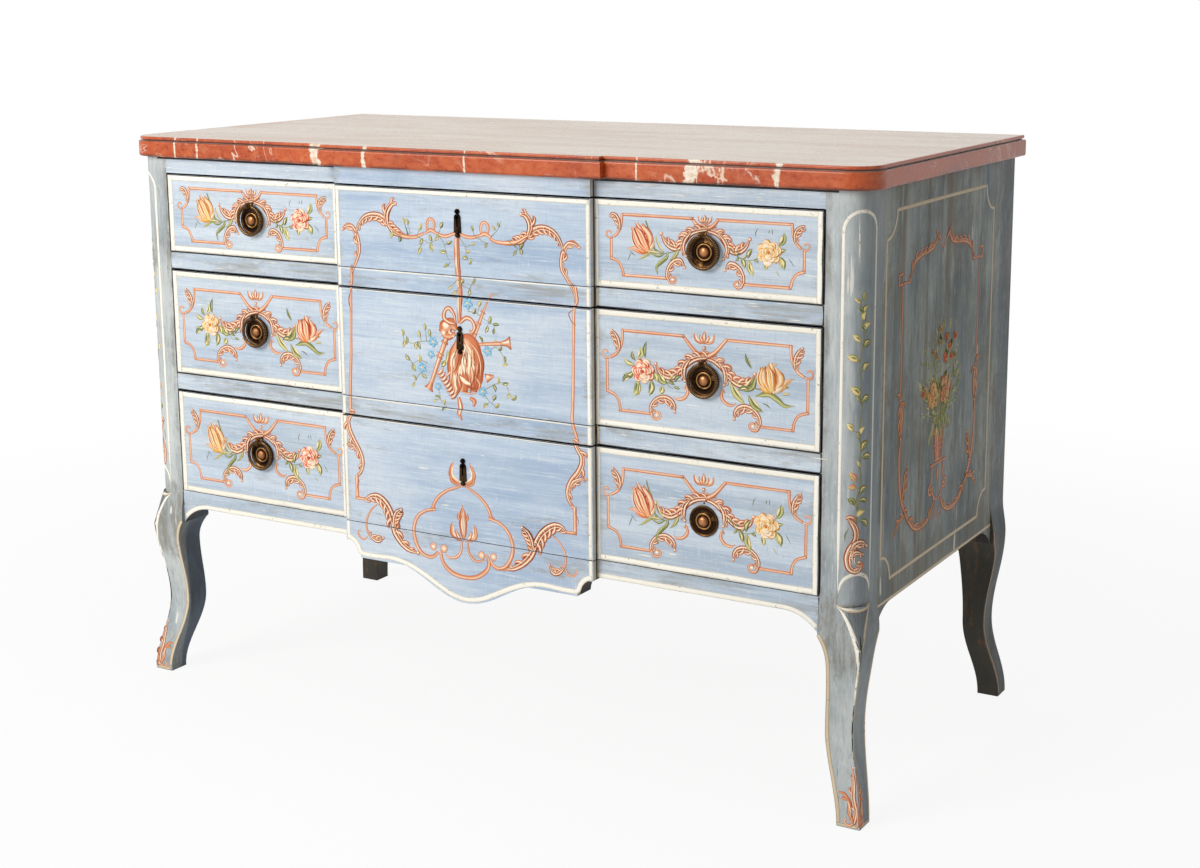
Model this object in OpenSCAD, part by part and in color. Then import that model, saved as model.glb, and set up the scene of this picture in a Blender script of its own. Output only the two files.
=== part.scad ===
// Breakfront commode: three full-width drawers between rounded corner posts that run down
// into cabriole legs, under a moulded marble top. The middle field of every drawer, rail,
// apron and of the top stands forward by one step.
// +X is to the right seen from the front, +Y goes to the back, +Z is up, in millimetres.
// The origin is on the floor, under the middle of the overall box.

/* [Body] */
// Width of the body across the corner posts
body_w = 1212; // [1000:1:1500]
// Depth of the body from the front of the side fields to the back
body_d = 562; // [480:1:660]
// Width of a corner post on the front and on the side
post_w = 55.5; // [48:0.5:75]
// Radius of the rounded corner of a front post
corner_r = 32; // [16:1:38]
// Width of the middle field that stands forward
centre_w = 430; // [300:1:560]
// How far the middle field stands forward of the side fields
step = 10.5; // [6:0.5:16]
// Thickness of the side panels and side rails
panel_t = 18; // [12:0.5:24]
// Thickness of the back panel
back_t = 12; // [8:0.5:16]
// Distance from the back of the posts to the back panel
back_inset = 2; // [0:0.5:6]

/* [Rails] */
// Height of the frieze rail under the marble
frieze_h = 24.5; // [20:0.5:50]
// Height of the rails between the drawers
rail_h = 27; // [22:0.5:40]
// Height of the bottom rail at the side fields
bottom_rail_h = 25.5; // [18:0.5:45]
// Depth of the rails from the front of the side fields to the back
rail_t = 26; // [24:0.5:40]
// Height of the lower edge of the bottom rail above the floor
clear_h = 280; // [240:1:340]
// Height of the upper back rail
back_rail_h = 40; // [25:1:60]
// Thickness of the upper back rail
back_rail_t = 20; // [14:1:28]

/* [Apron] */
// Drop of the ends of the middle apron below the bottom rail's edge
apron_end_drop = 3; // [1:0.5:8]
// Radius of the hollow notch at each end of the apron
notch_r = 26; // [15:1:34]
// Distance from the middle of the apron to the top of its saddle
saddle_x = 133; // [80:1:140]
// How far the saddle lies above the foot of the notch
saddle_rise = 4; // [0:0.5:8]
// Depth of the rounded middle lobe below the saddle
lobe_h = 45; // [20:1:60]

/* [Legs] */
// Height of the narrowest part of the leg, the ankle, above the floor
ankle_z = 125; // [90:1:160]
// How far the knee's widest part lies below the bottom rail's edge
knee_drop = 22; // [10:1:40]
// How far above the bottom rail's edge the swelling of the knee runs out
knee_rise = 32; // [24:1:40]
// How far the knee stands out beyond the body
knee_out = 6; // [2:0.5:14]
// How far the outer faces of the ankle lie inside the body's faces
ankle_in = 8.5; // [0:0.5:16]
// How far the toe stands out beyond the body
foot_out = 11.5; // [2:0.5:25]
// Width of the foot at the floor
foot_w = 33; // [26:0.5:42]
// Width of the leg at the ankle
ankle_w = 40; // [32:0.5:48]
// Width of a back leg at the ankle, seen from the back
back_ankle_w = 33; // [28:0.5:45]
// How far a back leg's toe stands out behind the body
back_foot_out = 7; // [0:0.5:15]
// Width of the leg where the bracket begins
knee_w = 47; // [42:0.5:56]
// Radius of the bracket curve between a leg and a rail
bracket_r = 63.5; // [45:0.5:80]
// Height above the bottom rail's edge of the ledge where the rounded corner ends
ledge_rise = 17; // [8:1:22]
// Length of the tapering spandrel that is cut on the leg's corner under the ledge
spandrel_h = 81; // [60:1:100]
// How much smaller the spandrel's radius is than the corner's
spandrel_step = 2.4; // [1:0.2:4]
// How far the foot of the spandrel's cut stands out beyond the body
spandrel_out = 12; // [8:0.5:16]

/* [Marble top] */
// Thickness of the marble
top_t = 30.5; // [20:0.5:45]
// How far the marble overhangs the sides of the body
top_over_side = 12; // [4:0.5:30]
// How far the marble overhangs the front of the body
top_over_front = 10; // [4:0.5:30]
// How far the marble's middle overhangs each side of the step in the body
top_over_step = 21.5; // [4:0.5:30]
// How far the marble overhangs the back of the body
top_over_back = 12; // [0:0.5:30]
// Radius of the marble's front corners
top_corner_r = 40; // [25:1:60]
// Height of the thick rounded band at the bottom of the edge
band_h = 24; // [12:0.5:28]
// Radius of the rounding at the band's top and bottom
band_r = 3; // [1:0.5:6]
// Height of the hollow above the band
hollow_h = 2; // [2:0.5:6]
// How far the hollow lies behind the band
hollow_in = 6.5; // [4:0.5:12]
// How far the upper lip lies behind the band
lip_in = 3; // [2:0.5:8]

/* [Drawers] */
// Height of the top drawer's front
top_drawer_h = 118; // [90:1:160]
// Height of the fronts of the two lower drawers
low_drawer_h = 161; // [120:1:210]
// Gap over a drawer's front
gap_top = 2.5; // [1.5:0.1:4]
// Gap under a drawer's front
gap_bottom = 1; // [0.6:0.1:2]
// Gap at each end of a drawer's front
gap_side = 2; // [1:0.1:4]
// Gap between a drawer's sides and the runners under them
slide_gap = 0.3; // [0.2:0.1:0.8]
// Thickness of a drawer's front at the side fields
front_t = 22; // [18:0.5:25]
// Thickness of a drawer's sides
side_t = 12; // [8:0.5:16]
// Thickness of a drawer's back
drawer_back_t = 12; // [8:0.5:16]
// Thickness of a drawer's bottom
bottom_t = 8; // [5:0.5:10]
// Height of a drawer's bottom above the lower edge of its sides
bottom_rise = 9; // [6:0.5:14]
// Depth of the grooves that hold a drawer's bottom
groove = 5; // [3:0.5:7]
// How far a drawer's sides end below the top of its front
side_drop = 8; // [4:0.5:16]
// Room behind a drawer that is pushed in, up to the back rail
drawer_room = 20; // [8:1:60]
// Length of the dovetails that enter the front
tail_l = 14; // [10:0.5:16]
// Height taken by one dovetail and its pin
tail_pitch = 36; // [26:1:50]
// Slope of the dovetails, in degrees
tail_slope = 9; // [5:1:14]

/* [Runners] */
// Width of a runner from the inside of the posts inwards
runner_w = 45; // [30:1:70]
// Thickness of a runner
runner_t = 20; // [14:1:26]
// Height of the guide beside a drawer above its runner
guide_h = 20; // [10:1:40]

/* [Locks] */
// Distance from the top of the top drawer's front to its keyhole
top_key_drop = 36.5; // [34:0.5:50]
// Distance from the top of a lower drawer's front to its keyhole
low_key_drop = 53.5; // [40:0.5:75]
// Radius of the keyhole's round part
keyhole_r = 2.6; // [2.2:0.1:3]
// Length of the keyhole's slot below its middle
keyhole_l = 13; // [9:0.5:15]
// Width of the keyhole's slot
keyhole_w = 2.4; // [1.8:0.1:3]
// Width of the lock's case
lock_w = 64; // [46:1:80]
// Thickness of the lock's case
lock_t = 14; // [11:0.5:16]
// How far the lock's case reaches below the keyhole
lock_below = 18; // [16:0.5:26]
// Width of the bolt
bolt_w = 24; // [14:0.5:30]
// Thickness of the bolt
bolt_t = 8; // [5:0.5:9]
// Length of the bolt
bolt_l = 26; // [18:0.5:30]
// Gap round the bolt and between a lock's case and the wood
lock_gap = 0.3; // [0.2:0.1:0.5]
// How far the bolt rises
bolt_travel = 9; // [6:0.5:10]

/* [Escutcheons] */
// Thickness of an escutcheon
plate_t = 1.8; // [1:0.1:3]
// Width of an escutcheon at its foot
plate_w = 11.6; // [10:0.2:15]
// Radius of an escutcheon's arched head
plate_r = 5.1; // [4.4:0.1:7]
// Height of an escutcheon's body from the keyhole's middle to its foot
plate_foot = 21.2; // [16:0.2:26]
// Radius of the balls at an escutcheon's ends
finial_r = 3.7; // [2.5:0.1:4.5]

/* [Ring handles] */
// Distance of a handle's middle below the middle of its drawer's front
handle_drop = 3; // [0:0.5:6]
// Radius of a ring at the middle of its band
ring_r = 21.3; // [19:0.1:30]
// Width of a ring's band, seen from the front
ring_band = 5.4; // [4:0.2:7]
// How far a ring's pivot lies outside its outer edge
pivot_out = 0.5; // [0:0.1:0.8]
// Radius of the knuckles at a ring's ends
knuckle_r = 2.4; // [2.2:0.1:3]
// Length of the knuckles at a ring's ends
knuckle_l = 2; // [1.5:0.1:3]
// Thickness of a ring, seen from the side
ring_t = 4.4; // [3:0.2:5]
// Distance of a ring's middle plane from the drawer's face
ring_off = 7; // [6:0.2:10]
// Radius of the ball head of a handle's post
ball_r = 3.4; // [3:0.1:5.5]
// Radius of the small ball in front of the head
tip_r = 2.5; // [1.5:0.1:2.8]
// Radius of a post's neck and of its shank through the wood
shank_r = 2; // [1.5:0.1:2.5]
// Radius of the flanges at both ends of a post's shank
flange_r = 2.7; // [2.4:0.1:5]
// Thickness of the flange on the drawer's face
flange_t = 1.6; // [0.8:0.1:2]
// Thickness of the riveted end behind the drawer's front
rivet_t = 1.5; // [1:0.1:3]
// Radius of the pintles on which a ring swings
pintle_r = 1.3; // [1:0.1:1.8]
// Gap round a pintle and round a shank
pin_gap = 0.05; // [0.03:0.01:0.1]
// Gap between a ring's ends and the ball
ring_gap = 0.5; // [0.3:0.1:1]
// Radius of the hole left by the missing post
empty_hole_r = 1.3; // [1:0.1:2]

/* [Rosettes] */
// Radius of a rosette
rosette_r = 21.5; // [17:0.5:23]
// Height of a rosette's boss above the drawer's face
boss_h = 6.6; // [4:0.2:7.4]
// Radius of a rosette's boss
boss_r = 9.5; // [7:0.5:11]
// Thickness of the sheet in a rosette's channels
sheet_t = 1.2; // [0.8:0.1:2]
// Height of a rosette's ridge and rim
ridge_h = 2.8; // [2:0.1:3.5]
// Length of the spike that holds a rosette in the wood
spike_l = 11; // [6:0.5:16]
// Radius of that spike
spike_r = 1.2; // [0.8:0.1:1.6]

/* [Hidden] */
$fn = 64;

// Drawers are numbered from the top: 0, 1, 2
TOP = 0;
MIDDLE = 1;
BOTTOM = 2;
LEFT = -1;
RIGHT = 1;
eps = 0.01;

// Half widths
half_w = body_w / 2;
half_centre = centre_w / 2;
open_x = half_w - post_w;
front_x = open_x - gap_side;
handle_x = (half_centre + front_x) / 2;

// Distance from a ring's middle to its pivot
pivot_r = ring_r + ring_band / 2 + pivot_out;

// Heights of the three openings, counted from the top
floor_2 = clear_h + bottom_rail_h;
roof_2 = floor_2 + gap_bottom + low_drawer_h + gap_top;
floor_1 = roof_2 + rail_h;
roof_1 = floor_1 + gap_bottom + low_drawer_h + gap_top;
floor_0 = roof_1 + rail_h;
roof_0 = floor_0 + gap_bottom + top_drawer_h + gap_top;
body_top = roof_0 + frieze_h;
open_floor = [floor_0, floor_1, floor_2];
open_roof = [roof_0, roof_1, roof_2];
front_h = [top_drawer_h, low_drawer_h, low_drawer_h];
key_drop = [top_key_drop, low_key_drop, low_key_drop];

// Depths of the inside
back_y = body_d - back_inset - back_t;
drawer_end = back_y - back_rail_t - drawer_room;

// The overall box decides where the origin lies
front_most = -step - top_over_front;
back_most = body_d + max(top_over_back, back_foot_out);
mid_y = (front_most + back_most) / 2;

// Heights on the legs
knee_z = clear_h - knee_drop;
knee_top_z = clear_h + knee_rise;
ledge_z = clear_h + ledge_rise;
bracket_z = clear_h - bracket_r;

function front_z(i) = open_floor[i] + gap_bottom;
function front_top(i) = front_z(i) + front_h[i];
function handle_z(i) = front_z(i) + front_h[i] / 2 - handle_drop;
function pivot_z(i) = handle_z(i) + pivot_r;
function key_z(i) = front_top(i) - key_drop[i];
function side_z(i) = open_floor[i] + slide_gap;
function side_h(i) = front_top(i) - side_drop - side_z(i);
function panel_z(i) = side_z(i) + bottom_rise;
function back_z(i) = panel_z(i) + bottom_t;

// Smooth step from 0 to 1
function ease(t) = (1 - cos(180 * t)) / 2;

// How far a leg's outer face stands out of the body's face at height z
function leg_out(z, knee = knee_out, foot = foot_out) =
    z < ankle_z ? foot - (foot + ankle_in) * ease(z / ankle_z)
    : z < knee_z ? -ankle_in + (ankle_in + knee) * ease((z - ankle_z) / (knee_z - ankle_z))
    : z < knee_top_z ? knee * (1 - ease((z - knee_z) / (knee_top_z - knee_z)))
    : 0;

// How far a leg's inner face lies inside the body's face at height z
bracket_in = knee_w - leg_out(bracket_z);
function leg_in(z, foot = foot_out) =
    z < ankle_z ? foot_w - foot + (ankle_w + ankle_in - foot_w + foot) * ease(z / ankle_z)
    : ankle_w + ankle_in
      + (bracket_in - ankle_w - ankle_in) * ease((z - ankle_z) / (bracket_z - ankle_z));

// The same for a back leg seen from the back, which has no bracket on its inner side
back_ankle_in = back_ankle_w + ankle_in;
function back_leg_in(z) =
    z < ankle_z ? foot_w - foot_out + (back_ankle_in - foot_w + foot_out) * ease(z / ankle_z)
    : back_ankle_in + (post_w - back_ankle_in) * ease((z - ankle_z) / (clear_h - ankle_z));

// The bracket's arc meets the post's inner edge at this angle and height
bracket_c = bracket_in + bracket_r;
bracket_a = acos((bracket_c - post_w) / bracket_r);
ear_z = bracket_z + bracket_r * sin(bracket_a);
ear_l = bracket_c - post_w;

// Outline of a post and its leg, with x as the distance inside the body's face
module leg_outline(knee = knee_out, foot = foot_out) {
    outer = [for (k = [0:44]) let (z = knee_top_z * k / 44) [-leg_out(z, knee, foot), z]];
    arc = [for (k = [9:-1:0]) let (a = bracket_a * k / 9)
        [bracket_c - bracket_r * cos(a), bracket_z + bracket_r * sin(a)]];
    inner = [for (k = [23:-1:0]) let (z = bracket_z * k / 24) [leg_in(z, foot), z]];
    polygon(concat(outer, [[0, body_top], [post_w, body_top]], arc, inner));
}

// The same for a back post seen from the back
module back_leg_outline() {
    outer = [for (k = [0:44]) let (z = knee_top_z * k / 44) [-leg_out(z), z]];
    inner = [for (k = [32:-1:0]) let (z = clear_h * k / 32) [back_leg_in(z), z]];
    polygon(concat(outer, [[0, body_top], [post_w, body_top]], inner));
}

// A leg sawn from two faces of one square post, at the corner x = 0, y = 0
module sawn_post(back) {
    reach = post_w + 2 * foot_out + 2 * knee_out;
    intersection() {
        translate([0, reach, 0]) rotate([90, 0, 0]) linear_extrude(2 * reach) {
            if (back) back_leg_outline();
            else leg_outline();
        }
        translate([-reach, 0, 0]) rotate([90, 0, 90]) linear_extrude(2 * reach) {
            if (back) leg_outline(0, back_foot_out);
            else leg_outline();
        }
    }
}

// What the rounded corner takes away above the ledge
module corner_waste() {
    difference() {
        translate([-knee_out, -knee_out, ledge_z])
            cube([corner_r + knee_out, corner_r + knee_out, body_top - ledge_z + 1]);
        translate([corner_r, corner_r, ledge_z - 1]) cylinder(r = corner_r, h = body_top);
    }
}

// What the tapering spandrel takes away under the ledge
module spandrel_waste() {
    c = corner_r - 4;
    reach = spandrel_out + 6;
    difference() {
        translate([-reach, -reach, ledge_z - spandrel_h])
            cube([reach + c, reach + c, spandrel_h]);
        hull() {
            translate([c, c, ledge_z - eps]) cylinder(r = corner_r - spandrel_step, h = 1);
            translate([-spandrel_out, -spandrel_out, ledge_z - spandrel_h - 1])
                cube([spandrel_out + 2 * c, spandrel_out + 2 * c, 1]);
        }
    }
}

module front_post() {
    color("lightsteelblue") translate([-half_w, 0, 0]) difference() {
        sawn_post(false);
        corner_waste();
        spandrel_waste();
    }
}

module back_post() {
    color("lightsteelblue") translate([-half_w, body_d, 0]) mirror([0, 1, 0]) sawn_post(true);
}

module post_front_left() { placed() front_post(); }
module post_front_right() { placed() mirror([1, 0, 0]) front_post(); }
module post_back_left() { placed() back_post(); }
module post_back_right() { placed() mirror([1, 0, 0]) back_post(); }

// Moves a piece from the body's own frame to the origin under the overall box
module placed() { translate([0, -mid_y, 0]) children(); }

// Edge moulding of the marble, with x as the distance inside its outermost line
module marble_edge(inward) {
    difference() {
        union() {
            translate([band_r, 0]) square([inward - band_r, band_h]);
            translate([0, band_r]) square([inward, band_h - 2 * band_r]);
            translate([band_r, band_r]) circle(band_r);
            translate([band_r, band_h - band_r]) circle(band_r);
            translate([hollow_in, 0]) square([inward - hollow_in, top_t]);
            translate([lip_in, band_h + hollow_h])
                square([inward - lip_in, top_t - band_h - hollow_h]);
        }
        translate([lip_in, top_t - 2]) difference() {
            translate([-1, 0]) square([3, 3]);
            translate([2, 0]) circle(2);
        }
    }
}

// A slab with the moulding on its front and both ends, and a plain back
module moulded_slab(half, front, back) {
    depth = back - front;
    intersection() {
        translate([-half - 1, front, 0]) rotate([90, 0, 90])
            linear_extrude(2 * half + 2) marble_edge(depth);
        union() {
            translate([-half, back + 1, 0]) rotate([90, 0, 0])
                linear_extrude(depth + 2) marble_edge(half + 1);
            mirror([1, 0, 0]) translate([-half, back + 1, 0]) rotate([90, 0, 0])
                linear_extrude(depth + 2) marble_edge(half + 1);
        }
    }
}

module marble_top() {
    half = half_w + top_over_side;
    r = top_corner_r;
    main_front = -top_over_front;
    color([0.78, 0.38, 0.25]) placed() translate([0, 0, body_top]) {
        difference() {
            union() {
                moulded_slab(half, main_front, body_d + top_over_back);
                moulded_slab(half_centre + top_over_step, front_most, body_d / 2);
            }
            for (s = [LEFT, RIGHT])
                translate([s * (half - r / 2 + 1), main_front + r / 2 - 1, top_t / 2])
                    cube([r + 2, r + 2, top_t + 2], center = true);
        }
        for (s = [LEFT, RIGHT])
            scale_x(s) translate([half - r, main_front + r, 0]) rotate([0, 0, -90])
                rotate_extrude(angle = 90) translate([r, 0]) mirror([1, 0]) marble_edge(r);
    }
}

// Mirrors left and right for side = -1
module scale_x(side) {
    if (side < 0) mirror([1, 0, 0]) children();
    else children();
}

// Outline of a rail between two posts, length l, with the bracket ears at its ends
module eared_rail(l) {
    translate([0, clear_h]) square([l, bottom_rail_h]);
    for (far = [0, 1]) translate([far * l, 0]) mirror([far, 0]) difference() {
        translate([0, ear_z]) square([ear_l, clear_h - ear_z + eps]);
        translate([ear_l, bracket_z]) circle(bracket_r, $fn = 128);
    }
}

// Lower edge of the middle apron at distance x from the middle
notch_z = clear_h - apron_end_drop - notch_r;
apron_x = half_centre - notch_r;
saddle_z = notch_z + saddle_rise;
function apron_edge(x) =
    x < saddle_x ? saddle_z - lobe_h * ease(1 - x / saddle_x)
    : saddle_z - saddle_rise * ease((x - saddle_x) / (apron_x - saddle_x));

module apron_outline() {
    edge = [for (k = [-32:32]) let (x = apron_x * k / 32) [x, apron_edge(abs(x))]];
    end_z = clear_h - apron_end_drop;
    difference() {
        union() {
            polygon(concat(edge, [[apron_x, end_z], [-apron_x, end_z]]));
            translate([-half_centre, notch_z]) square([centre_w, floor_2 - notch_z]);
        }
        for (s = [-1, 1]) translate([s * half_centre, notch_z]) circle(notch_r);
    }
}

module bottom_rail() {
    color("lightsteelblue") placed() {
        translate([0, rail_t, 0]) rotate([90, 0, 0]) linear_extrude(rail_t) {
            translate([-open_x, 0]) eared_rail(2 * open_x);
            apron_outline();
        }
        translate([0, eps, 0]) rotate([90, 0, 0]) linear_extrude(step + eps) apron_outline();
    }
}

// Plan of a board across the front whose middle stands forward
module stepped_plan(half, back) {
    polygon([
        [-half, 0], [-half_centre, 0], [-half_centre, -step], [half_centre, -step],
        [half_centre, 0], [half, 0], [half, back], [-half, back]
    ]);
}

// A rail over opening i, with the mortise that takes the bolt below it
module front_rail(i, h) {
    color("lightsteelblue") placed() translate([0, 0, open_roof[i]]) difference() {
        linear_extrude(h) stepped_plan(open_x, rail_t);
        translate([0, front_t - lock_t / 2, 0])
            cube([bolt_w + 2, bolt_t + 2, 2 * bolt_travel], center = true);
    }
}

module frieze_rail() { front_rail(TOP, frieze_h); }
module upper_rail() { front_rail(MIDDLE, rail_h); }
module lower_rail() { front_rail(BOTTOM, rail_h); }

module side_panel() {
    color("slategray") translate([-half_w, post_w, floor_2])
        cube([panel_t, body_d - 2 * post_w, body_top - floor_2]);
}

module side_rail() {
    color("slategray") translate([-half_w, post_w, 0]) rotate([90, 0, 90])
        linear_extrude(panel_t) eared_rail(body_d - 2 * post_w);
}

module side_panel_left() { placed() side_panel(); }
module side_panel_right() { placed() mirror([1, 0, 0]) side_panel(); }
module side_rail_left() { placed() side_rail(); }
module side_rail_right() { placed() mirror([1, 0, 0]) side_rail(); }

module back_panel() {
    color("burlywood") placed() translate([-open_x, back_y, clear_h])
        cube([2 * open_x, back_t, body_top - clear_h]);
}

module back_rail() {
    color("burlywood") placed() translate([-open_x, back_y - back_rail_t, body_top - back_rail_h])
        cube([2 * open_x, back_rail_t, back_rail_h]);
}

// A batten under the marble that also keeps the top drawer from tipping
module top_batten() {
    color("burlywood") translate([-open_x, rail_t, roof_0])
        cube([runner_w, back_y - back_rail_t - rail_t, frieze_h]);
}

module top_batten_left() { placed() top_batten(); }
module top_batten_right() { placed() mirror([1, 0, 0]) top_batten(); }

// A runner under a drawer's side, with the guide that fills the room beside it
module runner(i) {
    inner_l = back_y - rail_t;
    guide_l = body_d - 2 * post_w;
    guide_w = post_w - panel_t;
    color("burlywood") translate([0, 0, open_floor[i] - runner_t]) {
        translate([-open_x, rail_t, 0]) cube([runner_w, inner_l, runner_t]);
        translate([-open_x - guide_w, post_w, 0])
            cube([guide_w + eps, guide_l, runner_t + guide_h]);
    }
}

module top_runner_left() { placed() runner(TOP); }
module top_runner_right() { placed() mirror([1, 0, 0]) runner(TOP); }
module middle_runner_left() { placed() runner(MIDDLE); }
module middle_runner_right() { placed() mirror([1, 0, 0]) runner(MIDDLE); }
module bottom_runner_left() { placed() runner(BOTTOM); }
module bottom_runner_right() { placed() mirror([1, 0, 0]) runner(BOTTOM); }

// Outlines of the dovetails that point to -x from x = 0, in a height h that starts at z0
module tails(z0, h, l) {
    n = max(1, round(h / tail_pitch));
    pitch = h / n;
    root = pitch * 0.28;
    flare = l * tan(tail_slope);
    for (k = [0:n - 1]) translate([0, z0 + pitch * (k + 0.5)])
        polygon([[eps, -root], [-l, -root - flare], [-l, root + flare], [eps, root]]);
}

// The tails of a drawer's left side, as a solid of the side's thickness and more
module tail_solid(i, extra) {
    back_h = side_z(i) + side_h(i) - back_z(i);
    translate([-front_x - extra, 0, 0]) rotate([90, 0, 90]) linear_extrude(side_t + extra) {
        translate([front_t, 0]) tails(side_z(i), side_h(i), tail_l);
        translate([drawer_end - drawer_back_t, 0]) mirror([1, 0])
            tails(back_z(i), back_h, drawer_back_t);
    }
}

module drawer_side(i) {
    inner_x = -front_x + side_t;
    color("tan") difference() {
        union() {
            translate([-front_x, front_t, side_z(i)])
                cube([side_t, drawer_end - drawer_back_t - front_t, side_h(i)]);
            translate([-front_x, front_t, side_z(i)])
                cube([side_t, drawer_end - front_t, bottom_rise + bottom_t]);
            tail_solid(i, 0);
        }
        translate([inner_x - groove, front_t - tail_l - 1, panel_z(i)])
            cube([groove + 1, drawer_end + tail_l, bottom_t]);
    }
}

module drawer_back(i) {
    color("tan") placed() difference() {
        translate([-front_x, drawer_end - drawer_back_t, back_z(i)])
            cube([2 * front_x, drawer_back_t, side_z(i) + side_h(i) - back_z(i)]);
        for (s = [LEFT, RIGHT]) scale_x(s) mirror([1, 0, 0]) tail_solid(i, 1);
    }
}

module drawer_bottom(i) {
    half = front_x - side_t + groove;
    color("tan") placed() translate([-half, front_t - groove, panel_z(i)])
        cube([2 * half, drawer_end - front_t + groove, bottom_t]);
}

// Keyhole, along Y from the front: a round hole with a slot under it
module keyhole(l) {
    rotate([-90, 0, 0]) cylinder(r = keyhole_r, h = l);
    translate([-keyhole_w / 2, 0, -keyhole_l]) cube([keyhole_w, l, keyhole_l]);
}

// Front of drawer i, with holes for the handle posts of the listed sides
module drawer_front(i, held, empty) {
    lock_h = key_drop[i] + lock_below;
    half = front_x - side_t + groove;
    color("lightsteelblue") placed() difference() {
        translate([0, 0, front_z(i)]) linear_extrude(front_h[i]) stepped_plan(front_x, front_t);
        for (s = [LEFT, RIGHT]) scale_x(s) mirror([1, 0, 0]) tail_solid(i, 1);
        translate([-half, front_t - groove, panel_z(i)]) cube([2 * half, groove + 1, bottom_t]);
        translate([-lock_w / 2, front_t - lock_t, front_top(i) - lock_h])
            cube([lock_w, lock_t + 1, lock_h + 1]);
        translate([0, -step - 1, key_z(i)]) keyhole(step + front_t);
        for (s = [LEFT, RIGHT]) translate([s * handle_x, -1, handle_z(i)])
            rotate([-90, 0, 0]) cylinder(r = spike_r + pin_gap, h = spike_l + 1.5, $fn = 32);
        for (s = held) translate([s * handle_x, -1, pivot_z(i)])
            rotate([-90, 0, 0]) cylinder(r = shank_r + pin_gap, h = front_t + 2, $fn = 32);
        for (s = empty) translate([s * handle_x, -1, pivot_z(i)])
            rotate([-90, 0, 0]) cylinder(r = empty_hole_r, h = front_t + 2, $fn = 32);
    }
}

// Case of a lock, let into the back of a drawer's front, with the bolt's channel
module lock(i) {
    h = key_drop[i] + lock_below - lock_gap;
    y0 = front_t - lock_t;
    g = lock_gap;
    color("dimgray") placed() difference() {
        translate([-lock_w / 2 + g, y0 + g, front_top(i) - h])
            cube([lock_w - 2 * g, lock_t - g, h]);
        translate([-bolt_w / 2 - g, y0 + lock_t / 2 - bolt_t / 2 - g, front_top(i) - bolt_l - 1])
            cube([bolt_w + 2 * g, bolt_t + 2 * g, bolt_l + 2]);
        translate([0, y0 - 1, key_z(i)]) keyhole(lock_t - 1.5);
    }
}

module bolt(i) {
    g = lock_gap;
    color("gray") placed()
        translate([-bolt_w / 2, front_t - lock_t / 2 - bolt_t / 2, front_top(i) - bolt_l - 1 + g])
            cube([bolt_w, bolt_t, bolt_l]);
}

// Escutcheon: an arched plate that widens to its foot, with a ball at each end
module escutcheon(i) {
    head_z = plate_r + finial_r * 0.95;
    foot_z = -plate_foot - finial_r * 0.85;
    color([0.36, 0.25, 0.14]) placed() translate([0, -step, key_z(i)]) {
        rotate([90, 0, 0]) linear_extrude(plate_t) difference() {
            union() {
                circle(plate_r);
                polygon([
                    [-plate_r, 0], [plate_r, 0],
                    [plate_w / 2, -plate_foot], [-plate_w / 2, -plate_foot]
                ]);
                translate([0, head_z]) circle(finial_r);
                translate([0, foot_z]) circle(finial_r);
            }
            circle(keyhole_r);
            translate([-keyhole_w / 2, -keyhole_l]) square([keyhole_w, keyhole_l]);
        }
        for (z = [head_z, foot_z]) translate([0, -plate_t + eps, z]) intersection() {
            sphere(finial_r - 0.4);
            translate([-finial_r, -finial_r, -finial_r])
                cube([2 * finial_r, finial_r, 2 * finial_r]);
        }
    }
}

// Section of a rosette: a domed boss, a collar, a ridge and a rim with channels between
module rosette_section() {
    dome = boss_h - ridge_h;
    dome_r = (boss_r * boss_r + dome * dome) / (2 * dome);
    square([rosette_r, sheet_t]);
    translate([rosette_r - 1.3, 0]) square([1.3, ridge_h - 0.5]);
    translate([rosette_r * 0.7, 0]) square([1.5, ridge_h]);
    square([boss_r + 1, ridge_h + 0.4]);
    intersection() {
        translate([0, boss_h - dome_r]) circle(dome_r, $fn = 128);
        square([boss_r, boss_h]);
    }
}

module rosette() {
    rotate([90, 0, 0]) rotate_extrude() rosette_section();
    translate([0, -eps, 0]) rotate([-90, 0, 0]) cylinder(r = spike_r, h = spike_l, $fn = 32);
}

module rosettes(i) {
    color([0.45, 0.30, 0.15]) placed() for (s = [LEFT, RIGHT])
        translate([s * handle_x, 0, handle_z(i)]) rosette();
}

// Section of a handle's post, with y as the distance behind the drawer's face
module post_section() {
    tip_y = -ring_off - ball_r - 0.8 * tip_r;
    for (b = [[-ring_off, ball_r], [tip_y, tip_r]]) intersection() {
        translate([0, b[0]]) circle(b[1]);
        translate([0, b[0] - b[1]]) square([b[1], 2 * b[1]]);
    }
    translate([0, -ring_off]) square([shank_r, ring_off + front_t + rivet_t]);
    translate([0, -flange_t]) square([flange_r, flange_t]);
    translate([0, front_t]) square([flange_r, rivet_t]);
}

// Post of a ring handle: a bored ball with a small one before it, on a neck with a flange on
// the wood, and a shank riveted behind
module handle_post() {
    color([0.36, 0.25, 0.14]) difference() {
        rotate([90, 0, 0]) rotate_extrude() mirror([0, 1]) post_section();
        translate([-ball_r - 1, -ring_off, 0]) rotate([0, 90, 0])
            cylinder(r = pintle_r + pin_gap, h = 2 * ball_r + 2, $fn = 32);
    }
}

module handle_posts(i, held) {
    placed() for (s = held) translate([s * handle_x, 0, pivot_z(i)]) handle_post();
}

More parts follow.
